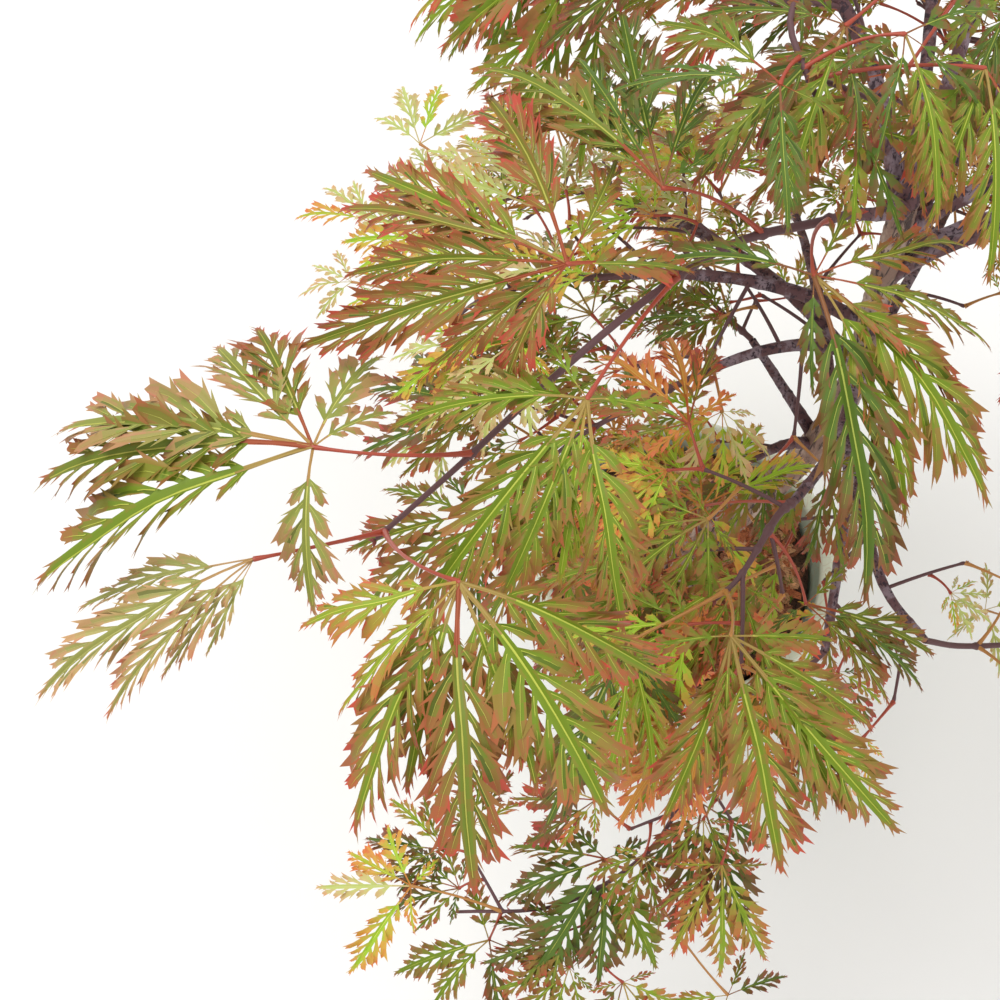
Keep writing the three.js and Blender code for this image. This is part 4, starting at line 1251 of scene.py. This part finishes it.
@functools.lru_cache(maxsize=None)
def scatter_tree():
    """Copies of a small piece strewn over upward faces within a radius, turned and sized by seed."""
    tree, given, out = new_tree(
        "GeometryNodeTree", "Strewn pieces",
        (("Geometry", "Geometry", None), ("Piece", "Object", None), ("Density", "Float", 20000.0),
         ("Reach", "Float", 0.07), ("Smallest", "Float", 0.006), ("Largest", "Float", 0.014),
         ("Tilt", "Float", 0.4), ("Seed", "Int", 1), ("Material", "Material", None)),
        (("Geometry", "Geometry"),))
    spread = add_node(tree, "GeometryNodeDistributePointsOnFaces")
    place = add_node(tree, "GeometryNodeInputPosition")
    flat = add_node(tree, "ShaderNodeVectorMath", {1: (1, 1, 0)}, operation="MULTIPLY")
    radius = add_node(tree, "ShaderNodeVectorMath", operation="LENGTH")
    within = add_node(tree, "ShaderNodeMath", operation="LESS_THAN")
    facing = add_node(tree, "GeometryNodeInputNormal")
    facing_up = add_node(tree, "ShaderNodeVectorMath", {1: (0, 0, 1)}, operation="DOT_PRODUCT")
    upward = add_node(tree, "ShaderNodeMath", {1: 0.5}, operation="GREATER_THAN")
    chosen = add_node(tree, "ShaderNodeMath", operation="MULTIPLY")
    density = add_node(tree, "ShaderNodeMath", operation="MULTIPLY")
    piece = add_node(tree, "GeometryNodeObjectInfo")
    back = add_node(tree, "ShaderNodeMath", {1: -1.0}, operation="MULTIPLY")
    lowest = add_node(tree, "ShaderNodeCombineXYZ", {"Z": 0.0})
    highest = add_node(tree, "ShaderNodeCombineXYZ", {"Z": math.tau})
    turn = add_node(tree, "FunctionNodeRandomValue", data_type="FLOAT_VECTOR")
    size = add_node(tree, "FunctionNodeRandomValue", data_type="FLOAT")
    copies = add_node(tree, "GeometryNodeInstanceOnPoints")
    wire(tree, (given, "Geometry", spread, "Mesh"), (place, "Position", flat, 0), (flat, "Vector", radius, 0),
         (radius, "Value", within, 0), (given, "Reach", within, 1), (facing, "Normal", facing_up, 0),
         (facing_up, "Value", upward, 0), (within, 0, chosen, 0), (upward, 0, chosen, 1),
         (chosen, 0, density, 0), (given, "Density", density, 1), (density, 0, spread, "Density"),
         (given, "Seed", spread, "Seed"), (given, "Piece", piece, "Object"), (given, "Tilt", back, 0),
         *((back, 0, lowest, axis) for axis in "XY"), *((given, "Tilt", highest, axis) for axis in "XY"),
         (lowest, "Vector", turn, "Min"), (highest, "Vector", turn, "Max"), (given, "Seed", turn, "Seed"),
         (given, "Seed", size, "Seed"), (given, "Smallest", size, 2), (given, "Largest", size, 3),
         (spread, "Points", copies, "Points"), (piece, "Geometry", copies, "Instance"),
         (turn, "Value", copies, "Rotation"), (size, 1, copies, "Scale"))
    return close_tree(tree, given, out, copies, "Instances")


def ring_faces(rings, sides):
    """Triangles between neighbouring rings of a turned or drawn shape."""
    faces = []
    for ring in range(rings - 1):
        for side in range(sides):
            a, b = ring * sides + side, ring * sides + (side + 1) % sides
            faces += [(a, b, b + sides), (a, b + sides, a + sides)]
    return faces


def turned_body(rows, ends, sides, top_first=False):
    """A closed turned body from rows of radius and height, with its axis's heights at both ends."""
    places = [np.array([r * math.cos(math.tau * k / sides), r * math.sin(math.tau * k / sides), z])
              for r, z in rows for k in range(sides)]
    places += [np.array([0, 0, end]) for end in ends]
    faces = [face[::-1] if top_first else face for face in ring_faces(len(rows), sides)]
    last = (len(rows) - 1) * sides
    for k in range(sides):
        one, other = (k, (k + 1) % sides) if top_first else ((k + 1) % sides, k)
        faces += [(one, other, len(places) - 2), (last + other, last + one, len(places) - 1)]
    return places, faces


def cap_faces(places, ring_start, sides, outward):
    """A fan that closes a ring, with its middle added to places."""
    middle = len(places)
    places.append(np.mean(places[ring_start:ring_start + sides], axis=0))
    faces = []
    for side in range(sides):
        a, b = ring_start + side, ring_start + (side + 1) % sides
        faces.append((a, b, middle) if outward else (b, a, middle))
    return faces


def relief_limb(route, radius_at, sides, steps, depth, grain, seed, flat_start=False):
    """A closed limb with relief drawn out along it, from the radius for a share and a turn."""
    places = []
    side_way = None
    for step in range(steps + 1):
        share = step / steps
        centre, line = route.at(share), route.tangent(share)
        if side_way is None:
            side_way = np.cross(line, (0.0, 1.0, 0.0))
        side_way = unit(side_way - line * (side_way @ line))
        other = np.cross(line, side_way)
        for side in range(sides):
            turn = math.tau * side / sides
            spot = Vector((math.cos(turn) * grain, math.sin(turn) * grain, share * route.length / 11 + seed))
            fine = noise.noise(spot * 1.9) + 0.5 * noise.noise(spot * 4.3)
            out = side_way * math.cos(turn) + other * math.sin(turn)
            place = centre + out * (radius_at(share, turn) + depth * fine)
            if flat_start and step == 0:
                place[2] = centre[2]
            places.append(place)
    faces = ring_faces(steps + 1, sides)
    faces += cap_faces(places, 0, sides, False)
    faces += cap_faces(places, steps * sides, sides, True)
    return places, faces


class MAPLE_OT_make_pot(Operator):
    """Make the glazed pot with its rolled rim, band, bare foot and drain holes"""

    bl_idname = "maple.make_pot"
    bl_label = "Make pot"

    SIDES = 160
    DRAINS = 3
    CHAMFER = 0.002

    # The wall's curve as a power of its height, and the height up to which the clay is bare
    BELLY = 0.85
    BARE_HEIGHT = 0.006

    def profile(self, sizes):
        """Rows of radius and height, from the underside's inner ring round to the inside's floor."""
        body_top = pot_high.z - sizes.band - sizes.lip
        rim = pot_high.x

        def wall(height):
            return sizes.foot + (sizes.shoulder - sizes.foot) * (max(height, 0) / body_top) ** self.BELLY

        rows = [(0.012, 0.0), (sizes.foot - 2.2 * self.CHAMFER, 0.0), (sizes.foot - self.CHAMFER, 0.0002),
                (sizes.foot, self.CHAMFER)]
        rows += [(wall(height), height) for height in np.linspace(self.CHAMFER * 2.2, body_top - 0.002, 26)]
        rows += [(sizes.shoulder + 0.0002, body_top), (rim - 0.0016, body_top + 0.0022),
                 (rim - 0.0008, body_top + 0.005), (rim - 0.0006, body_top + 0.012)]
        for angle in np.linspace(-12, 180, 17):
            rows.append((rim - sizes.lip + sizes.lip * math.cos(math.radians(angle)),
                         pot_high.z - sizes.lip + sizes.lip * math.sin(math.radians(angle))))
        return rows + [(wall(height) - sizes.wall, height)
                       for height in np.linspace(body_top, sizes.floor, 12)]

    def drill(self, sizes):
        """The drain holes' cylinders as one object."""
        tool = bmesh.new()
        for k in range(self.DRAINS):
            turn = math.tau * k / self.DRAINS + math.pi / 2
            made = bmesh.ops.create_cone(tool, cap_ends=True, segments=32, radius1=sizes.drain,
                                         radius2=sizes.drain, depth=sizes.floor * 4)
            bmesh.ops.translate(tool, verts=made["verts"], vec=(
                sizes.drain_circle * math.cos(turn), sizes.drain_circle * math.sin(turn), 0))
        mesh = bpy.data.meshes.new("drills")
        tool.to_mesh(mesh)
        tool.free()
        return placed("drills", mesh)

    def execute(self, context):
        sizes = context.scene.maple_pot
        places, faces = turned_body(self.profile(sizes), (0.0, sizes.floor), self.SIDES)
        clay = bark_material("Bare stoneware", sizes.clay, sizes.clay_patch, sizes.clay_crack, 240, (1, 1, 1),
                             0.0002)
        body = mesh_object("pot_glazed", np.array(places) / MM, faces, [glaze_material(sizes), clay])
        for face in body.data.polygons:
            face.material_index = int(face.center.z < self.BARE_HEIGHT)
        drill = self.drill(sizes)
        cut = body.modifiers.new("Drains", "BOOLEAN")
        cut.object = drill
        cut.operation = "DIFFERENCE"
        cut.solver = "EXACT"
        graph = context.evaluated_depsgraph_get()
        body.data = bpy.data.meshes.new_from_object(body.evaluated_get(graph), depsgraph=graph)
        body.modifiers.clear()
        bpy.data.objects.remove(drill)
        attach(body, ROOT)
        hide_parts("pot")
        return {"FINISHED"}


class MAPLE_OT_make_ground(Operator):
    """Make the soil with its bark chips and tufts of moss"""

    bl_idname = "maple.make_ground"
    bl_label = "Make soil and mulch"

    RINGS = 34
    SIDES = 96

    # The bed's top in millimetres: how far it lies below the soil's box, how far it drops from what
    # share of its radius on, and how uneven it is
    SINK = 1.2
    EDGE_DROP = 3
    EDGE_FROM = 0.75
    UNEVEN = 1.5

    # The bare edge in metres, with the room that chips and tufts keep beside it, and their sizes
    EDGE = 0.004
    CHIP_EDGE = 0.004
    MOSS_EDGE = 0.003
    CHIP_SHADES = {"red": "a8623e", "brown": "805038", "pale": "c4946c"}
    CHIP = {"Smallest": 0.006, "Largest": 0.016, "Tilt": 0.45}
    TUFT = {"Smallest": 0.003, "Largest": 0.006, "Tilt": 0.2}
    BLADES = 14

    def bed(self, soil):
        """The soil as one closed turned body with an uneven top."""
        radius = soil_high.x / MM
        pot = bpy.context.scene.maple_pot
        floor, top = soil_low.z / MM, soil_high.z / MM
        rows = []
        for ring in range(1, self.RINGS + 1):
            share = ring / self.RINGS
            drop = self.EDGE_DROP * max(share - self.EDGE_FROM, 0) / (1 - self.EDGE_FROM)
            rows.append((radius * share, top - self.SINK - drop))
        rows += [(radius, top - 12), (radius - 3, top - 60), ((pot.foot - pot.wall) / MM, floor)]
        places, faces = turned_body(rows, (top - self.SINK, floor), self.SIDES, top_first=True)
        for place in places[:-2]:
            if place[2] > top - 6:
                place[2] += self.UNEVEN * noise.noise(Vector(place / 9)) - 0.2
        return mesh_object("soil_bed", places, faces, [soil])

    def chip(self, seed):
        """A splinter of bark one unit long, with a broken outline."""
        draw = sampler(seed)
        body = bmesh.new()
        bmesh.ops.create_cube(body, size=1)
        bmesh.ops.subdivide_edges(body, edges=body.edges[:], cuts=1)
        for corner in body.verts:
            x, y, z = corner.co
            waist = 0.42 - 0.16 * abs(x) * 2
            corner.co = (x * draw(0.82, 1.12), y * waist * draw(0.7, 1.2),
                         z * 0.2 * draw(0.6, 1.3) + 0.1 * x * x)
        mesh = bpy.data.meshes.new("chip")
        body.to_mesh(mesh)
        body.free()
        return placed("chip", mesh)

    def tuft(self):
        """A tuft of moss one unit wide: short curved blades round a point."""
        draw = sampler(77)
        places, faces = [], []
        for k in range(self.BLADES):
            out = heading(137.5 * k)
            side = np.array([-out[1], out[0], 0]) * 0.05
            lean, tall = 0.1 + 0.4 * (k / self.BLADES), draw(0.45, 0.75)
            root = out * 0.1 * (k / self.BLADES)
            bend = root + out * lean * 0.4 + UP * tall * 0.7
            first = len(places)
            places += [root - side, root + side, bend + side, bend - side, root + out * lean + UP * tall]
            faces += [(first, first + 1, first + 2), (first, first + 2, first + 3),
                      (first + 3, first + 2, first + 4)]
        return mesh_object("tuft", np.array(places) / MM, faces, [])

    def strew(self, name, bed, piece, density, **values):
        """Copies of a small piece over the bed, as one mesh. The small piece is removed."""
        base = placed(name + "_bed", bed.data.copy())
        made = grown_mesh(name, base, scatter_tree(), {"Piece": piece, "Density": float(density), **values})
        bpy.data.objects.remove(piece)
        return made

    def execute(self, context):
        ground = context.scene.maple_ground
        soil = bark_material("Damp soil", ground.soil, ground.soil_patch, ground.soil_crack, 300, (1, 1, 1),
                             0.0008)
        bed = self.bed(soil)
        reach = soil_high.x - self.EDGE
        pieces = [bed]
        for order, (shade, code) in enumerate(self.CHIP_SHADES.items()):
            plain = colour_of(code)
            paler, darker = (tuple(value * share for value in plain) for share in (1.5, 0.4))
            material = bark_material(f"Bark chips {shade}", plain, paler, darker, 260, (1, 3, 1), 0.0004)
            pieces.append(self.strew(f"mulch_{shade}", bed, self.chip(31 + order), ground.chips, **self.CHIP,
                                     Reach=reach - self.CHIP_EDGE, Seed=ground.seed + order,
                                     Material=material))
        moss = grained_material("Moss", ground.moss_colour, 700, 0.7, 0.95, 0.0002, 0.2)
        pieces.append(self.strew("moss_tufts", bed, self.tuft(), ground.moss, **self.TUFT,
                                 Reach=reach - self.MOSS_EDGE, Seed=ground.seed + 9, Material=moss))
        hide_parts("soil")
        for piece in pieces:
            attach(piece, ROOT)
        return {"FINISHED"}


class MAPLE_OT_make_wood(Operator):
    """Make the trunk and boughs with the relief of their bark"""

    bl_idname = "maple.make_wood"
    bl_label = "Make trunk and boughs"

    # The trunk's rings and their distance in millimetres, and a bough's knots and its collar
    KNEE = 0.35
    KNEE_STEP = 58
    KNOTS = 5
    KNOT = 0.5
    COLLAR = 1.3

    def trunk(self, wood):
        """The trunk with its ridged flare and low rings."""
        def radius_at(share, turn):
            foot = math.exp(-share * TRUNK_HEIGHT / FLARE_HEIGHT)
            plain = TRUNK_BASE + (TRUNK_TOP - TRUNK_BASE) * share
            from_knee = share * TRUNK_HEIGHT % self.KNEE_STEP - self.KNEE_STEP / 2
            knee = self.KNEE * math.exp(-(from_knee / 3) ** 2)
            return plain * (1 + FLARE * foot) * (1 + RIDGE_DEPTH * foot * math.cos(ROOT_RIDGES * turn)) + knee

        places, faces = relief_limb(trunk_route, radius_at, 48, 220, wood.relief / MM, 3.2, 0, True)
        bark = bark_material("Mottled bark", wood.bark, wood.patch, wood.crack, 85, (1, 1, 0.45), 0.0008)
        made = mesh_object("trunk_bark", places, faces, [bark])
        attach(made, ROOT)
        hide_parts("trunk")

    def boughs(self, wood):
        """All boughs as one piece, each with knots and a collar at the trunk."""
        places, faces = [], []
        for order, part in enumerate(grown_crown().values()):
            def radius_at(share, turn):
                swell = self.KNOT * math.exp(-((share * self.KNOTS % 1 - 0.5) / 0.05) ** 2)
                collar = self.COLLAR * math.exp(-share * part["bough"].length / 6)
                return BOUGH_BASE + (BOUGH_TIP - BOUGH_BASE) * share + swell * 0.6 + collar

            spots, corners = relief_limb(part["bough"], radius_at, 14, 48, 0.16, 2.2, order * 7.3)
            faces += [tuple(corner + len(places) for corner in face) for face in corners]
            places += spots
        bark = bark_material("Young bark", wood.twig, wood.bloom, wood.young_crack, 130, (1, 1, 0.6), 0.0004)
        made = mesh_object("boughs_bark", places, faces, [bark])
        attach(made, ROOT)
        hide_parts(*(f"bough_{name}" for name in MASSES))

    def execute(self, context):
        self.trunk(context.scene.maple_wood)
        self.boughs(context.scene.maple_wood)
        return {"FINISHED"}


def swollen_line(route, joints, base, tip):
    """A twig's places and radii, with a knot at each joint and an end that rounds off."""
    near = [joint + shift / route.length for joint in joints for shift in (-2, -0.8, 0, 0.8, 2)]
    shares = np.unique(np.clip([*np.linspace(0, 1, 25), 0.994, *near], 0, 1))
    radii = []
    for share in shares:
        knot = max((math.exp(-((share - joint) * route.length / KNOT_REACH) ** 2) for joint in joints),
                   default=0)
        plain = base + (tip - base) * share
        radii.append(plain * (1 + KNOT_SWELL * knot) * (ROUNDED_END if share == 1 else 1))
    return [route.at(share) for share in shares], radii


def petiole_line(route, hub):
    """A petiole's places and radii: it swells at its foot and under the leaf, and ends in the hub."""
    shares = np.linspace(0, 1, 11)
    radii = [(PETIOLE_BASE + (PETIOLE_TIP - PETIOLE_BASE) * share) * (1 + 0.8 * math.exp(-k / 1.1))
             for k, share in enumerate(shares)]
    radii[-2:] = [PETIOLE_TIP * 1.3, PETIOLE_TIP * 1.9, PETIOLE_TIP * 0.9]
    return [*(route.at(share) for share in shares), hub + UP * 0.5], radii


def bud_line(place, line, out, size):
    """A bud in the fork between a twig's line and the way out, as places and radii."""
    way = unit(unit(line) + unit(out) * 0.8)
    return [place + way * size * reach for reach in BUD_REACHES], [size * girth for girth in BUD_GIRTHS]


def joints_of(part):
    """Shares along a mass's stem where its leaves and shoots leave it."""
    shares = np.linspace(0, 1, 101)
    along = np.array([part["stem"].at(share) for share in shares])
    joints = set()
    for item in part["leaves"] + part["shoots"]:
        apart = np.linalg.norm(along - item["from"], axis=1)
        if apart.min() < JOINT_REACH:
            joints.add(float(shares[apart.argmin()]))
    return sorted(joints)


class MAPLE_OT_make_twigs(Operator):
    """Make the twigs, side shoots, petioles and buds"""

    bl_idname = "maple.make_twigs"
    bl_label = "Make twigs and petioles"

    AMBER_SHARE = 0.34

    # Sizes of the buds at a stem's end, at a shoot's end and in a leaf's fork, in millimetres
    STEM_BUD = 0.8
    SHOOT_BUD = 0.7
    LEAF_BUD = 0.62

    def execute(self, context):
        wood = context.scene.maple_wood
        materials = {
            "twigs": grained_material("Young twig", wood.twig, 260, 0.45, 0.75, 0.0003, 0.35),
            "petioles_red": grained_material("Red petiole", wood.petiole_red, 600, 0.3, 0.5, 0.0001),
            "petioles_amber": grained_material("Amber petiole", wood.petiole_amber, 600, 0.3, 0.5, 0.0001),
            "buds": grained_material("Bud", wood.bud, 700, 0.4, 0.6, 0.0002),
        }
        lines = {name: [] for name in materials}
        draw = sampler(4242)
        for part in grown_crown().values():
            stem = part["stem"]
            lines["twigs"].append(swollen_line(stem, joints_of(part), TWIG_BASE, TWIG_TIP))
            for hand in (1, -1):
                side = unit(np.cross(stem.tangent(1), UP)) * hand
                lines["buds"].append(bud_line(stem.at(1), stem.tangent(1), side, self.STEM_BUD))
            for shoot in part["shoots"]:
                route = petiole_route(shoot["from"], shoot["to"])
                lines["twigs"].append(swollen_line(route, [0.0, 0.97], SHOOT_BASE, SHOOT_TIP))
                lines["buds"].append(bud_line(shoot["to"], route.tangent(1), UP, self.SHOOT_BUD))
            for leaf in part["leaves"]:
                route = petiole_route(leaf["from"], leaf["hub"], draw(-PETIOLE_BOW, PETIOLE_BOW))
                shade = "petioles_amber" if draw(0, 1) < self.AMBER_SHARE else "petioles_red"
                lines[shade].append(petiole_line(route, leaf["hub"]))
                lines["buds"].append(bud_line(leaf["from"], UP, route.tangent(0), self.LEAF_BUD))
        for name, rows in lines.items():
            made = tube_piece(name, rows, wood.sides if name == "twigs" else wood.sides - 2, materials[name])
            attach(made, ROOT)
        return {"FINISHED"}


class MAPLE_OT_make_leaves(Operator):
    """Make the cut leaves of every mass, with their tints dealt out by spray"""

    bl_idname = "maple.make_leaves"
    bl_label = "Make leaves"

    SPECULAR = 0.26

    # Levels that a leaf and each of its lobes may be redder or greener, then a lobe's share of the
    # usual breadth and fold, and the most that it rolls and twists in radians, sweeps and waves
    LEAF_RIPE = 0.9
    LOBE_RIPE = 0.6
    BREADTH = (0.85, 1.12)
    FOLD = (0.3, 1.9)
    BENDS = {"roll": 0.4, "twist": 0.6, "sweep": 0.035, "wave": 0.02}

    def materials(self):
        """Each tint's materials by level, then its vein, its stalk and its painted fold shade (its green
        darkened), all plain base colours.
        """
        made = {}
        for tint, codes in TINTS.items():
            green, bronze, red, vein, stalk = (np.array(colour_of(code)) for code in codes)
            colours = [green + (bronze - green) * step if step < 1 else bronze + (red - bronze) * (step - 1)
                       for step in LEVEL_STEPS]
            # The last colour is painted shade: the green darkened to stand for the shadow on a finger's
            # folded half
            colours += [vein * 0.8 + green * 0.2, stalk, green * 0.6]
            for zone, colour in enumerate(colours):
                made[tint, zone] = grained_material(f"Leaf {tint} {zone}", tuple(colour), 520, 0.36, 0.55,
                                                    0.00012, self.SPECULAR)
        return made

    def leaf_parts(self, leaf, tint, mass, shape, near, draw):
        """Laid lobes of one leaf, each with its pattern, its tint and the shift of its levels."""
        redder = mass.ripe + leaf["ripe"] + draw(-self.LEAF_RIPE, self.LEAF_RIPE)
        for lobe in leaf["lobes"]:
            size = lobe["length"]
            pairs = 4 + sum(size > length for length in PAIR_LENGTHS)
            form_name = "fine" if near and size > FINE_ABOVE else "middle" if size > MIDDLE_ABOVE else "plain"
            pattern = pattern_for(pairs, form_name, int(draw(0, PATTERNS_EACH - 0.001)))
            breadth = shape.breadth * mass.broad * leaf["broad"] * draw(*self.BREADTH)
            fold = shape.fold * draw(*self.FOLD)
            bends = {name: draw(-most, most) for name, most in self.BENDS.items()}
            places = lay_lobe(pattern, lobe, breadth, fold, **bends)
            kin = KIN_TINTS[tint]
            own = kin[int(draw(0, len(kin) - 0.001))] if draw(0, 1) < KIN_SHARE else tint
            yield places, pattern, own, int(round(redder + draw(-self.LOBE_RIPE, self.LOBE_RIPE)))

    def execute(self, context):
        shape = context.scene.maple_leaves
        materials = self.materials()
        keys = list(materials)
        for name, part in grown_crown().items():
            mass, near = MASSES[name], name in NEAR_MASSES
            draw = sampler(mass.seed * 13 + 5)
            places, faces, indices, first = [], [], [], 0
            for leaf in part["leaves"]:
                tint = leaf["tint"] or mass.tints[int(draw(0, len(mass.tints) - 0.001))]
                for spots, pattern, own, shift in self.leaf_parts(leaf, tint, mass, shape, near, draw):
                    _, corners, zones = pattern
                    levels = np.where(zones < LEVELS, np.clip(zones + shift, 0, LEVELS - 1), zones)
                    places.append(spots)
                    faces.append(corners + first)
                    indices.append(levels + keys.index((own, 0)))
                    first += len(spots)
            indices = np.concatenate(indices)
            used = np.unique(indices)
            made = mesh_object(f"leaves_{name}", np.concatenate(places), np.concatenate(faces),
                               [materials[keys[k]] for k in used], np.searchsorted(used, indices))
            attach(made, ROOT)
            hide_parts(f"foliage_{name}")
        return {"FINISHED"}


class MAPLE_OT_set_stage(Operator):
    """Set the pale floor, the soft lights and the camera"""

    bl_idname = "maple.set_stage"
    bl_label = "Set stage"

    FLOOR_SIDES = 96
    AIM = (0.0, 0.0, 0.45)
    KEY_PLACE = (-1.6, 1.3, 4.8)
    KEY_SIZE = 2.8
    FILL_PLACE = (1.3, -1.3, 2.2)
    FILL_SIZE = 2.4

    def light(self, name, power, size, place):
        """A square soft light that points at the plant."""
        lamp = bpy.data.lights.new(name, "AREA")
        lamp.energy, lamp.size = power, size
        made = placed(name, lamp)
        made.location = place
        made.rotation_euler = (Vector(self.AIM) - Vector(place)).to_track_quat("-Z", "Y").to_euler()
        made.visible_camera = False

    def execute(self, context):
        stage = context.scene.maple_stage
        radius = stage.floor_size / 2 / MM
        material, _, shader = new_material("Pale floor", stage.floor, 0.2)
        shader.inputs["Roughness"].default_value = 0.9
        rim = [heading(360 * k / self.FLOOR_SIDES) * radius for k in range(self.FLOOR_SIDES)]
        faces = [(0, k, k + 1) for k in range(1, self.FLOOR_SIDES - 1)]
        floor = mesh_object("floor", rim, faces, [material])
        world = bpy.data.worlds.new("Studio")
        world.use_nodes = True
        background = world.node_tree.nodes["Background"]
        background.inputs["Color"].default_value = (1, 1, 1, 1)
        background.inputs["Strength"].default_value = stage.sky
        context.scene.world = world
        self.light("key", stage.key, self.KEY_SIZE, self.KEY_PLACE)
        self.light("fill", stage.fill, self.FILL_SIZE, self.FILL_PLACE)
        lens = bpy.data.cameras.new("camera")
        lens.sensor_width = SENSOR
        lens.lens = SENSOR * FOCAL_PIXELS / PICTURE
        lens.clip_start, lens.clip_end = 0.01, 100
        camera = placed("camera", lens)
        camera.location = Vector(EYE * MM)
        camera.rotation_euler = (math.pi / 2 - LOOK_DOWN, 0, 0)
        context.scene.camera = camera
        context.scene.view_settings.view_transform = "Standard"
        return {"FINISHED"}


class MAPLE_PT_panel(Panel):
    """Lists the steps that make the plant"""

    bl_label = "Potted laceleaf maple"
    bl_space_type = "VIEW_3D"
    bl_region_type = "UI"
    bl_category = "Maple"

    def draw(self, context):
        for operator in OPERATORS:
            self.layout.operator(operator.bl_idname)
        for key, group in SETTINGS.items():
            box = self.layout.box()
            settings = getattr(context.scene, key)
            for name in group.__annotations__:
                box.prop(settings, name)


SETTINGS = {
    "maple_pot": MaplePotSizes,
    "maple_ground": MapleGroundSettings,
    "maple_wood": MapleWoodSettings,
    "maple_leaves": MapleLeafSettings,
    "maple_stage": MapleStageSettings,
}
OPERATORS = (
    MAPLE_OT_make_pot, MAPLE_OT_make_ground, MAPLE_OT_make_wood, MAPLE_OT_make_twigs, MAPLE_OT_make_leaves,
    MAPLE_OT_set_stage,
)


def register():
    for group in (*SETTINGS.values(), *OPERATORS, MAPLE_PT_panel):
        bpy.utils.register_class(group)
    for key, group in SETTINGS.items():
        setattr(bpy.types.Scene, key, PointerProperty(type=group))


def unregister():
    for key in SETTINGS:
        delattr(bpy.types.Scene, key)
    for group in (MAPLE_PT_panel, *OPERATORS, *SETTINGS.values()):
        bpy.utils.unregister_class(group)


def main():
    register()
    bpy.ops.maple.make_pot()
    bpy.ops.maple.make_ground()
    bpy.ops.maple.make_wood()
    bpy.ops.maple.make_twigs()
    bpy.ops.maple.make_leaves()
    bpy.ops.maple.set_stage()


if __name__ == "__main__":
    main()
